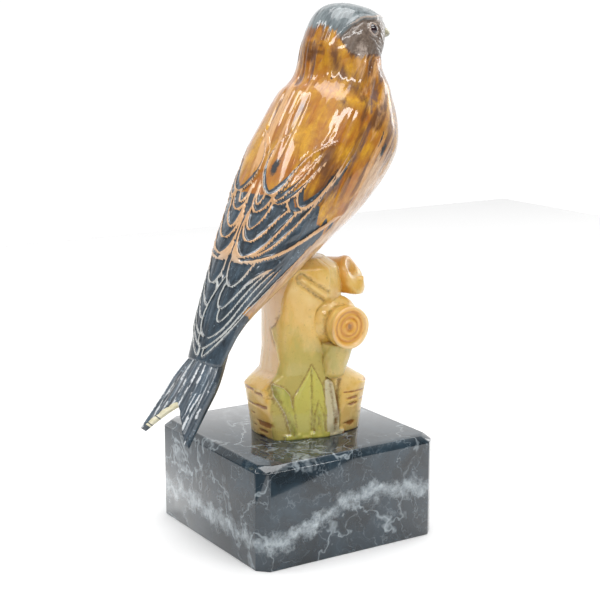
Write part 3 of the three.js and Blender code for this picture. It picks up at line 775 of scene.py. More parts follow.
# %% Carve the twig
def line_distance(points, a, b):
    """Distance of points from a straight line between two others, and how far along it, as a share."""
    share = np.clip(((points - a) @ (b - a)) / ((b - a) @ (b - a)), 0, 1)
    return np.linalg.norm(points - (a + share[..., None] * (b - a)), axis=-1), share


def wood_distance(start, end):
    """The same over the wood, in mm, the line's ends given as direction and height."""
    scale = np.array([DEGREE_MM, HUNDREDTH])
    return line_distance(together(direction_grid, up_grid) * scale, start * scale, end * scale)


twig_from, twig_share = wood_distance((-122, 37.6), (-77, 33.0))
twig_radius = between(1.0, 1.2, twig_share)
wood_height += 1.0 * np.sqrt(np.maximum(0, 1 - (twig_from / twig_radius) ** 2))
below_twig = up_grid < 39.4 + 0.09 * (-122 - direction_grid)
# A shallow hollow runs under the twig; the same band is painted darker later, as the twig's shadow.
under_twig = ridge(twig_from - 1.7, 0.55) * (twig_share < 0.999) * below_twig
wood_height -= 0.4 * under_twig
print("Twig", round(float(twig_radius.max() * 2), 1), "mm thick")

# %% Carve the leaves
# Each outline is direction in degrees and height in hundredths; fold is the line down its middle
LEAVES = [
    {"outline": [(-105, 17), (-97, 15), (-89, 12), (-86, 6), (-88, 0), (-128, 0), (-133, 5), (-132, 9.8),
                 (-118, 13.6)],
     "fold": [(-105, 16), (-108, 2)], "lift": 0.8, "glow": 1.0},
    {"outline": [(-86, 13), (-80, 13.8), (-74, 12.5), (-71, 6), (-70, 0), (-88, 0), (-88, 8)],
     "fold": [(-78, 12), (-77, 1)], "lift": 0.9, "glow": 0.35},
    {"outline": [(-155, 13.6), (-143, 12.2), (-136, 10.5), (-130, 5), (-127, 0), (-133, 0), (-141, 6),
                 (-152, 10.5)],
     "fold": [(-153, 12.8), (-130, 1)], "lift": 1.15, "glow": 0.6},
    {"outline": [(-97, 8.3), (-92, 5.8), (-90, 0), (-105, 0), (-103, 5.5)],
     "fold": [(-98, 5), (-98, 2.6)], "lift": 1.2, "glow": 0.7},
    {"outline": [(60, 13), (72, 9), (86, 4), (88, 0), (66, 0), (60, 6)], "fold": [(62, 11), (76, 1)],
     "lift": 0.8, "glow": 0.6},
    {"outline": [(118, 11), (112, 8), (96, 4), (94, 0), (114, 0), (120, 5)], "fold": [(116, 9), (104, 1)],
     "lift": 0.8, "glow": 0.6},
]
LEAF_MM = np.array([math.radians(1) * 10.5, 1.0]) * HUNDREDTH


def inside_outline(outline):
    """Distance in mm from the edge of a drawn shape on the trunk, positive inside it."""
    points = together(direction_grid, up_grid) * LEAF_MM
    loop = np.array(outline) * LEAF_MM
    nearest, within = np.full(up_grid.shape, 99.0), np.zeros(up_grid.shape, bool)
    for a, b in zip(loop, np.roll(loop, -1, axis=0)):
        nearest = np.minimum(nearest, line_distance(points, a, b)[0])
        if a[1] != b[1]:
            crossing = a[0] + (points[..., 1] - a[1]) * (b[0] - a[0]) / (b[1] - a[1])
            within ^= ((a[1] > points[..., 1]) != (b[1] > points[..., 1])) & (points[..., 0] < crossing)
    return np.where(within, nearest, -nearest)


leaf, leaf_glow, leaf_crease_shade = np.zeros(up_grid.shape), np.zeros(up_grid.shape), np.zeros(up_grid.shape)
for drawn in LEAVES:
    inside = inside_outline(drawn["outline"])
    inside = np.where((up_grid < 1) & (inside > -1.5), np.maximum(inside, 0.6), inside)
    shape = smooth_step(-0.15, 0.45, inside)
    fold = ridge(wood_distance(*drawn["fold"])[0], 0.45)
    leaf_height = drawn["lift"] + 0.28 * ridge(inside - 0.55, 0.35) - 0.45 * fold
    wood_height = between(wood_height, leaf_height, shape)
    # Just outside each leaf, and along its fold, the wood is kept to be painted darker as shade in the
    # crease.
    crease = ridge(np.maximum(-inside, 0), 0.5) * (1 - shape)
    leaf_crease_shade = np.maximum(leaf_crease_shade * (1 - shape), np.maximum(0.6 * crease, 0.5 * shape * fold))
    leaf_glow = between(leaf_glow, drawn["glow"], shape)
    leaf = np.maximum(leaf, shape)
from_groove = [wood_distance((-66, 13), (-70, 10))[0], wood_distance((-70, 10), (-75, 3))[0]]
dark_groove = ridge(np.minimum(*from_groove), 0.5)
wood_height -= 0.7 * dark_groove
print("Share of the stump under leaves:", round(float(leaf.mean()), 2))

# %% [markdown]
# ## The stump's skin
# The height goes on along each point's outward direction, and stops at the foot so that the
# casting still rests flat on the marble.

# %% Build the stump
x_axis = np.cos(np.radians(direction_grid)) * radius_grid + STUMP_CENTRE
y_axis = np.sin(np.radians(direction_grid)) * radius_grid
wood_skin = together(x_axis, y_axis, up_grid) * HUNDREDTH
wood_out = outward(wood_skin)
wood_out[0, :, 2] = 0
wood_grid = wood_skin + wood_out * wood_height[..., None]
wood_grid[0, :, 2] = 0
panel_olive = panel * smooth_step(33, 14, up_grid)
front_foot = smooth_step(-152, -146, direction_grid) * smooth_step(-64, -72, direction_grid)
front_foot = front_foot * smooth_step(16, 10, up_grid)
olive = np.clip(np.maximum(panel_olive, front_foot), 0, 1)
# Painted shade: darker paint in the notch, the two grooves and the creases round the leaves, and a painted
# shadow under the twig.
shade = np.clip(0.5 * notch + 0.6 * right_groove + 0.5 * under_twig + leaf_crease_shade + 0.7 * dark_groove, 0, 1)
left_column = smooth_step(-0.2, -1.2, from_left) * smooth_step(12.5, 15, up_grid)
left_column = left_column * smooth_step(-100, -140, direction_grid)
wood_paint = together(leaf, olive, cracks, leaf_glow)
wood_detail = together(shade, 0, left_column, 0)
stump = wrapped_mesh("stump", wood_grid, "wood", paint=wood_paint, detail=wood_detail)
print("Stump:", len(stump.data.vertices), "points")

# %% [markdown]
# ## The cut branches
# A round branch points towards the viewer and shows its year rings. Its root swells where it
# leaves the trunk. Under it hangs a tapering bracket of wood, and to its right a thicker branch
# was sawn off at a slant. Each is a turned profile, made a little uneven.

# %% Build the round branch stub
STUB = {"ahead": 6.6, "up": 26.1, "reach": 14, "radius": 5.0}
# radius as a share of the stub's, and reach as a share of its length
STUB_PROFILE = [
    (0.01, 0.0), (1.32, 0.0), (1.32, 0.5), (1.16, 0.60), (0.95, 0.68), (0.94, 0.74), (1.0, 0.79),
    (1.02, 0.85), (0.99, 0.90), (1.02, 0.95), (0.99, 0.985), (0.93, 1.0), (0.86, 1.0), (0.80, 0.99),
    (0.76, 0.975), (0.68, 0.968), (0.58, 0.976), (0.50, 0.968), (0.42, 0.970), (0.38, 0.982),
    (0.34, 0.995), (0.25, 0.998), (0.12, 0.986), (0.01, 0.985),
]
profile_share = np.linspace(0, 1, len(STUB_PROFILE))
fine_share = np.linspace(0, 1, 74)
stub_r = np.interp(fine_share, profile_share, [p[0] for p in STUB_PROFILE])[:, None]
stub_y = np.interp(fine_share, profile_share, [p[1] for p in STUB_PROFILE])[:, None]
stub_spin = np.linspace(0, 360, 64, endpoint=False)[None, :]
spin_cos, spin_sin = np.cos(np.radians(stub_spin)), np.sin(np.radians(stub_spin))
uneven = 1 + 0.07 * (hills(8 + 1.4 * spin_cos, 8 + 1.4 * spin_sin + 4 * fine_share[:, None], 51) - 0.5)
stub_radius = stub_r * uneven * STUB["radius"]
stub_grid = together(STUB["ahead"] + stub_radius * spin_cos, -stub_y * STUB["reach"],
                     STUB["up"] + stub_radius * spin_sin) * HUNDREDTH
stub_face = smooth_step(0.955, 0.965, stub_y)
off_centre = np.hypot(stub_r * spin_cos + 0.10, stub_r * spin_sin - 0.06)
# The first mask darkens the narrow neck behind the collar as painted shade; the others mark the cut face and
# how far round it lies from an off-centre heart.
stub_detail = together(0.45 * ridge(stub_y - 0.71, 0.05), stub_face, 0, off_centre * stub_face)
ring_stub = wrapped_mesh("ring_stub", stub_grid, "wood", detail=stub_detail)
print("Stub face", round(2 * STUB["radius"] * HUNDREDTH, 1), "mm across")

# %% [markdown]
# ## The slanted branch and the bracket
# A saw cut is never quite square to the branch. Sliding every point along the branch by its own
# height turns a square end into a slanted one, so one function makes both kinds.

# %% Build the slanted branch and the bracket
KNOB = {"ahead": 13.6, "aside": -5.4, "up": 36.4, "turn": -54, "tilt": 2}
# distance along the branch, radius, and how much of the slant applies there
KNOB_PROFILE = [
    (-12, 0.05, 0), (-12, 4.0, 0), (-6, 4.25, 0.4), (-3.2, 4.3, 0.8), (-1.2, 4.6, 1), (-0.35, 4.4, 1),
    (-0.1, 3.8, 1), (0, 3.0, 1), (0.05, 2.2, 1), (0.05, 1.2, 1), (0.05, 0.05, 1),
]
KNOB_SLANT = 1.8
# ahead, aside, up, half length and half width
BRACKET_FOOT = (4.7, -8.8, 13.4, 2.4, 2.2)
BRACKET_HEAD = (5.8, -9.6, 22.0, 4.1, 3.4)


def sawn_branch(profile, slant, spin_count, seed, lump):
    """A branch along +X in hundredths, ending in a slanted cut, its skin made uneven."""
    share, fine = np.linspace(0, 1, len(profile)), np.linspace(0, 1, 42)
    x, r, lean = (np.interp(fine, share, [p[k] for p in profile])[:, None] for k in range(3))
    spin = np.radians(np.linspace(0, 360, spin_count, endpoint=False))[None, :]
    lumps = hills(8 + 3 * np.cos(spin), 8 + 3 * np.sin(spin) + x / 5, seed) - 0.5
    lobes = 0.04 * np.cos(3 * spin + 0.7) + 0.03 * np.cos(5 * spin)
    r = r * (1 + lump * lumps + lobes)
    return together(x - slant * lean * np.sin(spin), r * np.cos(spin), r * np.sin(spin))


def placed(points, tilt, turn, ahead, aside, up):
    """Tilts a branch upwards, turns it about the upright, and moves it; gives mm."""
    t, a = math.radians(tilt), math.radians(turn)
    x, y, z = points[..., 0], points[..., 1], points[..., 2]
    x, z = x * math.cos(t) - z * math.sin(t), x * math.sin(t) + z * math.cos(t)
    x, y = x * math.cos(a) - y * math.sin(a), x * math.sin(a) + y * math.cos(a)
    return together(x + ahead, y + aside, z + up) * HUNDREDTH


knob_points = sawn_branch(KNOB_PROFILE, KNOB_SLANT, 50, 61, 0.1)
knob_side = smooth_step(-9, -7, knob_points[..., 0]) * smooth_step(-0.2, -1.2, knob_points[..., 0])
knob_detail = together(0, 0.75 * knob_side, 0, 0.5)
knob = wrapped_mesh("knob", placed(knob_points, **KNOB), "wood", detail=knob_detail)

bracket_rows = np.linspace(0, 1, 22)[:, None]
bracket_spin = np.radians(np.linspace(0, 360, 40, endpoint=False))[None, :]
foot_to_head = [between(BRACKET_FOOT[k], BRACKET_HEAD[k], bracket_rows) for k in range(5)]
lumps = hills(8 + 2 * np.cos(bracket_spin), 8 + 2 * np.sin(bracket_spin) + 4 * bracket_rows, 62)
swell = (1 + 0.12 * (lumps - 0.5)) * smooth_step(-0.06, 0.12, bracket_rows) ** 0.5
bracket_grid = together(
    foot_to_head[0] + foot_to_head[3] * swell * np.cos(bracket_spin),
    foot_to_head[1] + foot_to_head[4] * swell * np.sin(bracket_spin),
    foot_to_head[2]) * HUNDREDTH
bracket = wrapped_mesh("bracket", bracket_grid, "wood", paint=(0, 0.75, 0, 0))
print("Branches made")

# %% [markdown]
# ## Join the casting
# The mould gives one piece, so the parts become one solid: a boolean union keeps only the outer
# skin and drops every wall that would lie hidden inside. Afterwards each point of the new skin
# takes its masks from the nearest point of the part that it came from.


# %% Join everything into one skin
def join_all(first, others):
    for other in others:
        union = first.modifiers.new("union", "BOOLEAN")
        union.operation = "UNION"
        union.solver = "MANIFOLD"
        union.object = other
        bpy.context.view_layer.objects.active = first
        bpy.ops.object.modifier_apply(modifier=union.name)
        bpy.data.objects.remove(other)
    return first


casting = join_all(body, [tail, beak, *eyes, stump, ring_stub, knob, bracket])
casting.name = "lacquered_bird"
corner_points = np.concatenate(carried_points)
tree = KDTree(len(corner_points))
for i, point in enumerate(corner_points * MILLIMETRE):
    tree.insert(point, i)
tree.balance()
nearest = [tree.find(v.co)[1] for v in casting.data.vertices]
for mask_name, values in carried_masks.items():
    attribute = casting.data.attributes.new(mask_name, "FLOAT_COLOR", "POINT")
    attribute.data.foreach_set("color", np.concatenate(values)[nearest].astype(np.float32).ravel())
triangles = sum(len(p.vertices) - 2 for p in casting.data.polygons)
print("Casting:", triangles, "triangles, slots", [m.name for m in casting.data.materials])

# %% Give the tail's cut end its own paint
tail_slot = SLOTS.index("tail_end")
run = np.array(TAIL_TIP) - np.array(TAIL_ROOT)
tail_heading = np.array([run[0] * math.cos(BIRD_TURN), run[0] * math.sin(BIRD_TURN), run[1]])
tail_heading /= np.linalg.norm(run)
# The cut end lies behind this and between these heights over the plinth, in mm
END_AHEAD, END_LOW, END_HIGH = -44, 5, 27
painted = 0
for face in casting.data.polygons:
    centre = np.array(face.center) / MILLIMETRE
    on_tail = centre[0] < END_AHEAD and END_LOW < centre[2] - PLINTH_HEIGHT < END_HIGH
    if on_tail and np.dot(np.array(face.normal), tail_heading) > 0.6:
        face.material_index = tail_slot
        painted += 1
print("Faces on the tail's cut end:", painted)

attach(casting, "root")
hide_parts("bird_on_stump")

# %% [markdown]
# ## The marble plinth
# The block was sawn, its corners and top edge chamfered, and everything polished. A real edge is
# never razor sharp, so each gets a bevel of a third of a millimetre, which catches the light.

# %% Build the plinth
PLINTH_SIDE, CORNER_CHAMFER, TOP_CHAMFER, EDGE_BEVEL = 70.0, 3.5, 2.0, 0.3


def plinth_outline(inset, z):
    x = y = PLINTH_SIDE / 2 - inset
    c = CORNER_CHAMFER
    corners = [(x, y - c), (x - c, y), (c - x, y), (-x, y - c),
               (-x, c - y), (c - x, -y), (x - c, -y), (x, c - y)]
    return [(px * MILLIMETRE, py * MILLIMETRE, z * MILLIMETRE) for px, py in corners]


rings = [plinth_outline(0, 0), plinth_outline(0, PLINTH_HEIGHT - TOP_CHAMFER),
         plinth_outline(TOP_CHAMFER, PLINTH_HEIGHT)]
plinth_faces = [list(range(8))[::-1], list(range(16, 24))]
for ring in range(2):
    for i in range(8):
        j = (i + 1) % 8
        plinth_faces.append([8 * ring + i, 8 * ring + j, 8 * ring + j + 8, 8 * ring + i + 8])
plinth_mesh = bpy.data.meshes.new("marble_block")
plinth_mesh.from_pydata([p for ring in rings for p in ring], [], plinth_faces)
plinth = bpy.data.objects.new("marble_block", plinth_mesh)
bpy.context.scene.collection.objects.link(plinth)
bevel = plinth.modifiers.new("bevel", "BEVEL")
bevel.width = EDGE_BEVEL * MILLIMETRE
bevel.segments = 3
bevel.limit_method = "ANGLE"
bevel.angle_limit = math.radians(20)
bevel.harden_normals = True
bpy.context.view_layer.objects.active = plinth
bpy.ops.object.modifier_apply(modifier="bevel")
for face in plinth.data.polygons:
    face.use_smooth = True
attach(plinth, "root")
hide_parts("marble_plinth")
print("Plinth:", len(plinth.data.polygons), "faces")

# %% [markdown]
# ## Tools for materials
# Four small helpers serve every material: one turns a colour from the way painters and screens
# name it to the linear light that Blender mixes, one starts a material, one adds any node with its
# settings and links, and one gives a noise its scale.


# %% Material helpers
def linear(hex_colour):
    """An sRGB hex colour, such as B8720F, as linear red, green, blue and alpha."""
    channels = [int(hex_colour[i : i + 2], 16) / 255 for i in (0, 2, 4)]
    return tuple(c / 12.92 if c <= 0.04045 else ((c + 0.055) / 1.055) ** 2.4 for c in channels) + (1.0,)


def start_material(name):
    material = bpy.data.materials.get(name) or bpy.data.materials.new(name)
    material.use_nodes = True
    material.node_tree.nodes.clear()
    return material


def add(tree, kind, settings=None, **links):
    """Adds a node. Settings are its own properties; each link is an input's value, or another
    node's output. An input is named by its label with underscores, or by its number as in_0."""
    node = tree.nodes.new(kind)
    for key, value in (settings or {}).items():
        setattr(node, key, value)
    for key, value in links.items():
        socket = node.inputs[int(key[3:])] if key.startswith("in_") else node.inputs[key.replace("_", " ")]
        if isinstance(value, bpy.types.NodeSocket):
            tree.links.new(value, socket)
        else:
            socket.default_value = value
    return node


def per_mm(feature):
    """The Scale of a noise whose features are this many millimetres apart."""
    return 1000.0 / feature


# Settings that many nodes share
CLAMPED = {"clamp": True}
MULTIPLY_ADD = {"operation": "MULTIPLY_ADD"}

print("Ochre in linear light:", [round(c, 3) for c in linear("B8720F")[:3]])

# %% [markdown]
# ## Brushed paint
# Each colour goes over the last where its mask says, and the mask's edge is broken up by noise,
# as a half-dry brush breaks up. One function lays a colour over another in that way. A second one
# makes the noise: it stretches it to the full range, so that it has real lights and darks.


# %% Lay one paint over another
def masks(tree, name):
    """The four masks that one attribute of the mesh carries."""
    attribute = add(tree, "ShaderNodeAttribute", {"attribute_name": name})
    channels = add(tree, "ShaderNodeSeparateColor", Color=attribute.outputs["Color"]).outputs
    return channels[0], channels[1], channels[2], attribute.outputs["Alpha"]


def patches(tree, where, feature, detail=4.0, rough=0.6, distortion=0.0):
    """Random patches this many mm apart, from 0 to 1."""
    value = add(tree, "ShaderNodeTexNoise", Vector=where, Scale=per_mm(feature), Detail=detail,
                Roughness=rough, Distortion=distortion).outputs[0]
    return add(tree, "ShaderNodeMapRange", CLAMPED, Value=value, From_Min=0.3, From_Max=0.7).outputs[0]


def blend(tree, share, one, other):
    """One colour at 0, the other at 1."""
    return add(tree, "ShaderNodeMix", {"data_type": "RGBA"}, in_0=share, in_6=one, in_7=other).outputs[2]


def lay_over(tree, under, colour, mask, breakup, rough=0.5, crisp=6.0):
    """Mixes a colour over the one under it. breakup is a noise from 0 to 1, rough says how much
    of the mask it eats, and crisp how hard the edge is."""
    shifted = add(tree, "ShaderNodeMath", MULTIPLY_ADD, in_0=breakup, in_1=rough, in_2=mask)
    edge = add(tree, "ShaderNodeMapRange", CLAMPED, Value=shifted.outputs[0],
               From_Min=0.5 + rough / 2 - 0.5 / crisp, From_Max=0.5 + rough / 2 + 0.5 / crisp)
    return blend(tree, edge.outputs[0], under, colour)


def fades(tree, value, start, end):
    """A mask that is 1 at start and falls to 0 at end."""
    return add(tree, "ShaderNodeMapRange", CLAMPED, Value=value, From_Min=start, From_Max=end,
               To_Min=1.0, To_Max=0.0).outputs[0]


print("Masks that the painter has:", list(carried_masks))

# %% [markdown]
# ## Lacquered paint on the bird
# The bird is acrylic paint on cast polyresin under a thick clear lacquer. The lacquer is what the
# eye sees first: sharp white reflections over warm, deep colour. So the material has a clear coat
# over a paint that is only half glossy. Gold goes on first, with orange, brown and purple rubbed
# over it in streaks, then the belly, the slate, the pale rims and the head follow their masks.

# %% Gold, brown and purple on the back
tree_b = start_material("bird").node_tree
place_b = add(tree_b, "ShaderNodeTexCoord").outputs["Object"]
slate_b, edge_b, head_b, belly_b = masks(tree_b, "paint")
purple_b, cheek_b, patch_b, spine_b = masks(tree_b, "detail")
brown_b, dark_b, pale_b, whitish_b = masks(tree_b, "marks")
# Streaks run along the body, which leans 53 degrees, so the noise is turned and stretched there
lean_b = add(tree_b, "ShaderNodeMapping", {"vector_type": "TEXTURE"}, Vector=place_b,
             Rotation=(0, -math.radians(53), BIRD_TURN), Scale=(6.0, 1.0, 1.0)).outputs[0]
wide = patches(tree_b, place_b, 16, detail=3)
mottle = patches(tree_b, place_b, 5, detail=6, rough=0.7)
speck = patches(tree_b, place_b, 1.3, detail=4, rough=0.7)
streaks = patches(tree_b, lean_b, 2.4, detail=5, rough=0.65, distortion=0.4)
fine_streaks = patches(tree_b, lean_b, 1.1, detail=3, rough=0.6)
colour = blend(tree_b, mottle, linear("9E6404"), linear("DDA41C"))
colour = lay_over(tree_b, colour, linear("AE660C"), wide, streaks, rough=0.8, crisp=1.6)
colour = lay_over(tree_b, colour, linear("DDAA72"), pale_b, fine_streaks, rough=0.7, crisp=2)
colour = lay_over(tree_b, colour, linear("74503F"), purple_b, fine_streaks, rough=0.8, crisp=1.8)
colour = lay_over(tree_b, colour, linear("6A3E10"), brown_b, streaks, rough=0.9, crisp=1.4)
print("Gold and brown laid")

# %% Belly and slate
belly_colour = blend(tree_b, streaks, linear("9A6C48"), linear("E0BC92"))
colour = lay_over(tree_b, colour, belly_colour, belly_b, fine_streaks, rough=0.7, crisp=3)
slate_colour = blend(tree_b, streaks, linear("121A22"), linear("465968"))
near_rim = fades(tree_b, edge_b, 0.24, 0.42)
slate_colour = lay_over(tree_b, slate_colour, linear("0C1118"), near_rim, speck, rough=0.3, crisp=3)
# Pale flecks on the slate are painted highlights, as if the fine barbs caught the light.
barb_highlight = fades(tree_b, speck, 0.0, 0.30)
slate_colour = lay_over(tree_b, slate_colour, linear("71838F"), barb_highlight, streaks, rough=0.6, crisp=3)
colour = lay_over(tree_b, colour, slate_colour, slate_b, speck, rough=0.08, crisp=18)
colour = lay_over(tree_b, colour, linear("161A20"), dark_b, speck, rough=0.4, crisp=4)
print("Slate laid")

# %% Rims, head and tail
rim_colour = blend(tree_b, wide, linear("C4905E"), linear("E2B88C"))
rim_colour = blend(tree_b, whitish_b, rim_colour, linear("BFC2C0"))
rim_worn = blend(tree_b, 0.5, speck, streaks)
on_rim = fades(tree_b, edge_b, 0.18, 0.30)
colour = lay_over(tree_b, colour, rim_colour, on_rim, rim_worn, rough=0.9, crisp=3)
cap_colour = blend(tree_b, fine_streaks, linear("3E494E"), linear("848F92"))
cheek_colour = blend(tree_b, speck, linear("54453B"), linear("827264"))
rear = fades(tree_b, head_b, 0.50, 0.80)
cheek_colour = lay_over(tree_b, cheek_colour, linear("5E3B22"), rear, fine_streaks, rough=0.7, crisp=2.5)
head_colour = blend(tree_b, cheek_b, cap_colour, cheek_colour)
head_colour = lay_over(tree_b, head_colour, linear("B8A89C"), pale_b, speck, rough=0.5, crisp=2.5)
colour = lay_over(tree_b, colour, head_colour, head_b, fine_streaks, rough=0.45, crisp=4)
fleck = add(tree_b, "ShaderNodeMath", {"operation": "MULTIPLY"}, in_0=spine_b, in_1=0.7).outputs[0]
colour = lay_over(tree_b, colour, linear("C9CDD0"), fleck, speck, rough=0.7, crisp=5)
colour = lay_over(tree_b, colour, linear("E6D6BC"), patch_b, speck, rough=0.6, crisp=5)
print("Rims and head laid")

# %% Lacquer over the paint
paint_grain = patches(tree_b, place_b, 0.6, detail=3)
bump = add(tree_b, "ShaderNodeBump", Strength=0.2, Distance=0.0002, Height=paint_grain)
rough_paint = add(tree_b, "ShaderNodeMapRange", Value=speck, To_Min=0.3, To_Max=0.5)
shader = add(tree_b, "ShaderNodeBsdfPrincipled", Base_Color=colour, Roughness=rough_paint.outputs[0],
             IOR=1.5, Coat_Weight=1.0, Coat_Roughness=0.05, Coat_IOR=1.5, Normal=bump.outputs[0])
add(tree_b, "ShaderNodeOutputMaterial", Surface=shader.outputs[0])
print("Lacquer poured over", len(tree_b.nodes), "nodes of paint")

# %% [markdown]
# ## Beak, eyes and the tail's end
# The beak is horn-coloured paint with a darker gape line. The eyes are dark red-brown under the
# same lacquer, and act as tiny mirrors. The tail's end is cream paint that nothing was rubbed over.

# %% Paint the small parts
tree_k = start_material("beak").node_tree
place_k = add(tree_k, "ShaderNodeTexCoord").outputs["Object"]
gape_k, upper_k = masks(tree_k, "detail")[:2]
horn = blend(tree_k, upper_k, linear("77766A"), linear("B5AE8E"))
horn = blend(tree_k, patches(tree_k, place_k, 1.5), horn, linear("A8A284"))
horn = lay_over(tree_k, horn, linear("2E2C28"), gape_k, patches(tree_k, place_k, 1.2), rough=0.3, crisp=3)
beak_shader = add(tree_k, "ShaderNodeBsdfPrincipled", Base_Color=horn, Roughness=0.4, IOR=1.5,
                  Coat_Weight=0.8, Coat_Roughness=0.12)
add(tree_k, "ShaderNodeOutputMaterial", Surface=beak_shader.outputs[0])

tree_e = start_material("eye").node_tree
place_e = add(tree_e, "ShaderNodeTexCoord").outputs["Object"]
iris = blend(tree_e, patches(tree_e, place_e, 2.0), linear("120A10"), linear("3A1C26"))
eye_shader = add(tree_e, "ShaderNodeBsdfPrincipled", Base_Color=iris, Roughness=0.15, IOR=1.5,
                 Coat_Weight=1.0, Coat_Roughness=0.02)
add(tree_e, "ShaderNodeOutputMaterial", Surface=eye_shader.outputs[0])

tree_t = start_material("tail_end").node_tree
place_t = add(tree_t, "ShaderNodeTexCoord").outputs["Object"]
cream = blend(tree_t, patches(tree_t, place_t, 2.0), linear("E0D8B0"), linear("F6F0D6"))
end_shader = add(tree_t, "ShaderNodeBsdfPrincipled", Base_Color=cream, Roughness=0.4, IOR=1.5,
                 Coat_Weight=0.8, Coat_Roughness=0.1)
add(tree_t, "ShaderNodeOutputMaterial", Surface=end_shader.outputs[0])
print("Small parts painted")

# %% [markdown]
# ## Waxy paint on the stump
# The stump is the same resin with thin, see-through washes of yellow and olive over a pale base,
# so it looks waxy. A little light scatters inside it. The lower panel and the front of the foot are
# olive. Hollows, creases, the branch's neck and the band under the twig get painted shade, and the
# leaves range from olive to a pale yellow-green.

# %% Washes on the wood
tree_w = start_material("wood").node_tree
place_w = add(tree_w, "ShaderNodeTexCoord").outputs["Object"]
leaf_w, olive_w, crack_w, glow_w = masks(tree_w, "paint")
shade_w, face_w, column_w, ring_w = masks(tree_w, "detail")
tall_w = add(tree_w, "ShaderNodeMapping", {"vector_type": "TEXTURE"}, Vector=place_w,
             Scale=(1.0, 1.0, 3.0)).outputs[0]
broad_w = patches(tree_w, place_w, 14, detail=3)
cloud_w = patches(tree_w, tall_w, 4.5, detail=5, rough=0.65)
speck_w = patches(tree_w, place_w, 1.2, detail=4, rough=0.7)
wood_colour = blend(tree_w, cloud_w, linear("E2BC64"), linear("F8E0A6"))
wood_colour = lay_over(tree_w, wood_colour, linear("DEB354"), broad_w, cloud_w, rough=0.8, crisp=1.4)
wood_colour = lay_over(tree_w, wood_colour, linear("EBCDA4"), column_w, speck_w, rough=0.5, crisp=2.5)
wood_colour = lay_over(tree_w, wood_colour, linear("BFAE5C"), olive_w, cloud_w, rough=0.8, crisp=1.3)
print("Wood washed")

# %% Year rings on the cut branch
# How far the rings' wave runs from the heart to the bark, in radians
RING_RUN = 24.0
ring_phase = add(tree_w, "ShaderNodeMath", MULTIPLY_ADD, in_0=ring_w, in_1=RING_RUN, in_2=speck_w)
ring_wave = add(tree_w, "ShaderNodeMath", {"operation": "SINE"}, in_0=ring_phase.outputs[0]).outputs[0]
ring_share = add(tree_w, "ShaderNodeMapRange", Value=ring_wave, From_Min=-1.0, From_Max=1.0).outputs[0]
ring_colour = blend(tree_w, ring_share, linear("C78322"), linear("E2AC48"))
ring_colour = blend(tree_w, fades(tree_w, ring_w, 0.80, 0.95), linear("ECCB90"), ring_colour)
heart = fades(tree_w, ring_w, 0.04, 0.22)
ring_colour = lay_over(tree_w, ring_colour, linear("9A6420"), heart, speck_w, rough=0.5, crisp=2)
wood_colour = blend(tree_w, face_w, wood_colour, ring_colour)
print("Year rings drawn")

# %% Leaves, cracks and wax
leaf_colour = blend(tree_w, cloud_w, linear("76802C"), linear("A5A548"))
leaf_colour = lay_over(tree_w, leaf_colour, linear("C8BF5A"), glow_w, cloud_w, rough=0.5, crisp=2)
dull = fades(tree_w, glow_w, 0.35, 0.55)
leaf_colour = lay_over(tree_w, leaf_colour, linear("CFC49C"), dull, speck_w, rough=0.4, crisp=3)
wood_colour = lay_over(tree_w, wood_colour, leaf_colour, leaf_w, speck_w, rough=0.3, crisp=3)
wood_colour = lay_over(tree_w, wood_colour, linear("A0661E"), crack_w, speck_w, rough=0.6, crisp=1.8)
# Painted shade: hollows, creases, the branch's neck and the band under the twig are darkened.
wood_colour = lay_over(tree_w, wood_colour, linear("7E5A20"), shade_w, speck_w, rough=0.6, crisp=1.3)
wood_bump = add(tree_w, "ShaderNodeBump", Strength=0.3, Distance=0.0003, Height=speck_w)
wax_rough = add(tree_w, "ShaderNodeMapRange", Value=speck_w, To_Min=0.28, To_Max=0.45)
wood_shader = add(tree_w, "ShaderNodeBsdfPrincipled", Base_Color=wood_colour,
                  Roughness=wax_rough.outputs[0], IOR=1.5, Subsurface_Weight=0.2,
                  Subsurface_Radius=(0.003, 0.0015, 0.0008), Subsurface_Scale=0.4,
                  Coat_Weight=0.7, Coat_Roughness=0.1, Normal=wood_bump.outputs[0])
add(tree_w, "ShaderNodeOutputMaterial", Surface=wood_shader.outputs[0])
print("Stump painted")

# %% [markdown]
# ## Polished black marble
# The block is black marble with white calcite in it: broad cloudy bands, fine threads, and a haze
# of grey. The threads are thin places in a warped noise: where the noise passes its middle value,
# a line appears. One broad band crosses the front, and its height follows a curve.

# %% Stone for the plinth
marble_material = start_material("polished_marble")
tree_m = marble_material.node_tree
place_m = add(tree_m, "ShaderNodeTexCoord").outputs["Object"]
# How far the noise moves the stone's pattern, in metres
WARP_REACH = (0.03, 0.03, 0.03)
warp = add(tree_m, "ShaderNodeTexNoise", Vector=place_m, Scale=per_mm(22), Detail=4.0, Roughness=0.6)
warped = add(tree_m, "ShaderNodeVectorMath", MULTIPLY_ADD, in_0=warp.outputs["Color"],
             in_1=WARP_REACH, in_2=place_m).outputs[0]
haze = patches(tree_m, warped, 16, detail=6, rough=0.65)
stone = blend(tree_m, haze, linear("0A1116"), linear("30424E"))


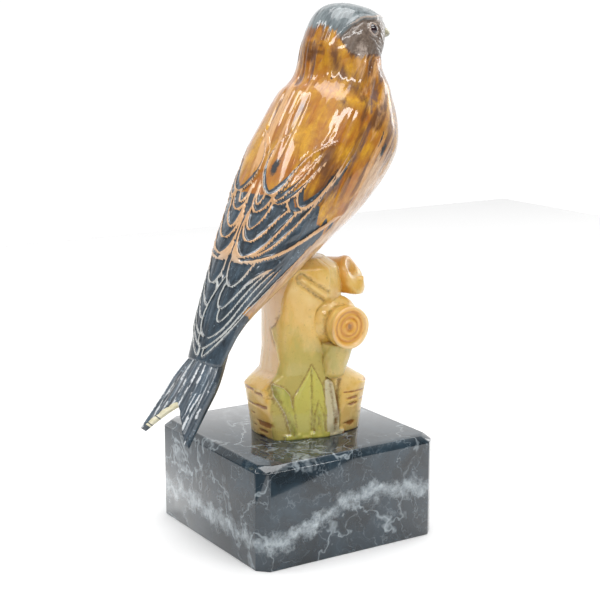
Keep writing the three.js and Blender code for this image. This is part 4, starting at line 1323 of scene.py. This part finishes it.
def vein(tree, under, where, feature, width, strength, colour):
    """A thread of another colour where a warped noise passes its middle value."""
    value = add(tree, "ShaderNodeTexNoise", Vector=where, Scale=per_mm(feature), Detail=3.0, Roughness=0.5)
    off = add(tree, "ShaderNodeMath", {"operation": "SUBTRACT"}, in_0=value.outputs[0], in_1=0.5).outputs[0]
    size = add(tree, "ShaderNodeMath", {"operation": "ABSOLUTE"}, in_0=off).outputs[0]
    line = add(tree, "ShaderNodeMapRange", CLAMPED, Value=size, From_Min=0.0, From_Max=width,
               To_Min=strength, To_Max=0.0).outputs[0]
    gaps = patches(tree, where, feature * 0.6)
    amount = add(tree, "ShaderNodeMath", {"operation": "MULTIPLY"}, in_0=line, in_1=gaps).outputs[0]
    return blend(tree, amount, under, colour)


# Spacing of the threads in mm, their width and strength, and their colour
for feature, width, strength, grey in (
    (26, 0.018, 0.9, "AEB9BF"), (11, 0.012, 0.6, "8E9AA2"), (6, 0.010, 0.35, "7C8890"),
):
    stone = vein(tree_m, stone, warped, feature, width, strength, linear(grey))
print("Stone and threads laid")

# %% The broad white band
# Height over the table, height of the waves, raggedness, core and half width of the band in metres
BAND_HEIGHT, BAND_WAVE, BAND_RAGGED, BAND_CORE, BAND_HALF = 0.0145, 0.003, 0.007, 0.0006, 0.0040
# Slope along the front, share of the depth in that slope, and waves in radians a metre
BAND_SLOPE, BAND_DEPTH_SHARE, BAND_WAVES = 0.12, -0.35, 95.0
parts = add(tree_m, "ShaderNodeSeparateXYZ", Vector=place_m)
run_x = add(tree_m, "ShaderNodeMath", MULTIPLY_ADD, in_0=parts.outputs[1], in_1=BAND_DEPTH_SHARE,
            in_2=parts.outputs[0]).outputs[0]
phase = add(tree_m, "ShaderNodeMath", {"operation": "MULTIPLY"}, in_0=run_x, in_1=BAND_WAVES)
wave = add(tree_m, "ShaderNodeMath", {"operation": "SINE"}, in_0=phase.outputs[0])
band_height = add(tree_m, "ShaderNodeMath", MULTIPLY_ADD, in_0=wave.outputs[0], in_1=BAND_WAVE,
                  in_2=BAND_HEIGHT)
slope_height = add(tree_m, "ShaderNodeMath", MULTIPLY_ADD, in_0=run_x, in_1=BAND_SLOPE,
                   in_2=band_height.outputs[0])
from_band = add(tree_m, "ShaderNodeMath", {"operation": "SUBTRACT"}, in_0=parts.outputs[2],
                in_1=slope_height.outputs[0])
torn = patches(tree_m, place_m, 7, detail=6, rough=0.7)
ragged_band = add(tree_m, "ShaderNodeMath", MULTIPLY_ADD, in_0=torn, in_1=BAND_RAGGED,
                  in_2=from_band.outputs[0])
band_off = add(tree_m, "ShaderNodeMath", {"operation": "SUBTRACT"}, in_0=ragged_band.outputs[0],
               in_1=BAND_RAGGED / 2)
band_size = add(tree_m, "ShaderNodeMath", {"operation": "ABSOLUTE"}, in_0=band_off.outputs[0])
band = fades(tree_m, band_size.outputs[0], BAND_CORE, BAND_HALF)
cloud = patches(tree_m, place_m, 4, detail=6, rough=0.75)
band = add(tree_m, "ShaderNodeMath", {"operation": "MULTIPLY"}, in_0=band, in_1=cloud).outputs[0]
stone = blend(tree_m, band, stone, linear("C2CDD3"))
marble_shader = add(tree_m, "ShaderNodeBsdfPrincipled", Base_Color=stone, Roughness=0.09, IOR=1.55,
                    Coat_Weight=0.5, Coat_Roughness=0.03)
add(tree_m, "ShaderNodeOutputMaterial", Surface=marble_shader.outputs[0])
plinth.data.materials.clear()
plinth.data.materials.append(marble_material)
print("Marble made")

# %% [markdown]
# ## Table, light and camera
# A pale table and a bright, even room suit a glossy piece: every highlight on the lacquer is a
# picture of a lamp. A long softbox in front draws the bright line down the shoulder, a smaller one
# behind on the left edges the back, a weak one on the right lifts the far side, and a wide one
# overhead lights the table. The room is dimmer on the camera's side, which keeps the marble's
# front black.

# %% Table
TABLE_HALF = 0.6
table_corners = [(TABLE_HALF * x, TABLE_HALF * y, 0) for x, y in ((-1, -1), (1, -1), (1, 1), (-1, 1))]
table_mesh = bpy.data.meshes.new("table")
table_mesh.from_pydata(table_corners, [], [(0, 1, 2, 3)])
table = bpy.data.objects.new("table", table_mesh)
bpy.context.scene.collection.objects.link(table)
table_material = start_material("matt_table")
tree_f = table_material.node_tree
table_shader = add(tree_f, "ShaderNodeBsdfPrincipled", Base_Color=linear("F4F4F4"), Roughness=0.9)
add(tree_f, "ShaderNodeOutputMaterial", Surface=table_shader.outputs[0])
table.data.materials.append(table_material)
print("Table", 2 * TABLE_HALF, "m wide")

# %% Lamps and room
# The point that every lamp faces, and the direction from the camera past the trophy
TARGET = (0.0, 0.0, 0.11)
BEHIND = (0.53, 0.84, 0.1)


def softbox(name, azimuth, elevation, distance, width, height, power):
    """An area lamp in a direction from the trophy, in degrees, facing it."""
    a, e = math.radians(azimuth), math.radians(elevation)
    lamp = bpy.data.lights.new(name, "AREA")
    lamp.shape, lamp.size, lamp.size_y, lamp.energy = "RECTANGLE", width, height, power
    holder = bpy.data.objects.new(name, lamp)
    holder.location = (TARGET[0] + distance * math.cos(e) * math.cos(a),
                       TARGET[1] + distance * math.cos(e) * math.sin(a), TARGET[2] + distance * math.sin(e))
    holder.rotation_euler = (math.pi / 2 - e, 0, a + math.pi / 2)
    bpy.context.scene.collection.objects.link(holder)


# Azimuth, elevation, distance, width and height in metres, and power in watts
softbox("front_softbox", -105, 43, 0.9, 1.3, 0.09, 5)
softbox("back_softbox", 151, 43, 0.9, 0.5, 0.12, 1.6)
softbox("side_softbox", 15, 12, 1.0, 0.2, 0.4, 0.7)
softbox("ceiling", -30, 88, 1.4, 1.2, 1.2, 19)
world = bpy.data.worlds.new("room")
bpy.context.scene.world = world
world.use_nodes = True
tree_r = world.node_tree
tree_r.nodes.clear()
direction = add(tree_r, "ShaderNodeTexCoord").outputs["Generated"]
facing_back = add(tree_r, "ShaderNodeVectorMath", {"operation": "DOT_PRODUCT"}, in_0=direction,
                  in_1=BEHIND)
brightness = add(tree_r, "ShaderNodeMapRange", CLAMPED, Value=facing_back.outputs["Value"],
                 From_Min=0.2, From_Max=0.85, To_Min=0.16, To_Max=1.05).outputs[0]
room = add(tree_r, "ShaderNodeBackground", Color=(1, 1, 1, 1), Strength=brightness)
add(tree_r, "ShaderNodeOutputWorld", Surface=room.outputs[0])
bpy.context.scene.view_settings.view_transform = "Standard"
print("Lamps:", [light.name for light in bpy.data.lights])

# %% Camera
# Where the photographer stood, worked out from the plinth's corners, in metres and degrees
camera_data = bpy.data.cameras.new("camera")
camera_data.lens = 86.6
camera_data.sensor_width = 36
camera = bpy.data.objects.new("camera", camera_data)
camera.location = (-0.2556, -0.4084, 0.1812)
camera.rotation_euler = (math.radians(78.10), 0, math.radians(-32.22))
bpy.context.scene.collection.objects.link(camera)
bpy.context.scene.camera = camera
print("Camera at", tuple(camera.location))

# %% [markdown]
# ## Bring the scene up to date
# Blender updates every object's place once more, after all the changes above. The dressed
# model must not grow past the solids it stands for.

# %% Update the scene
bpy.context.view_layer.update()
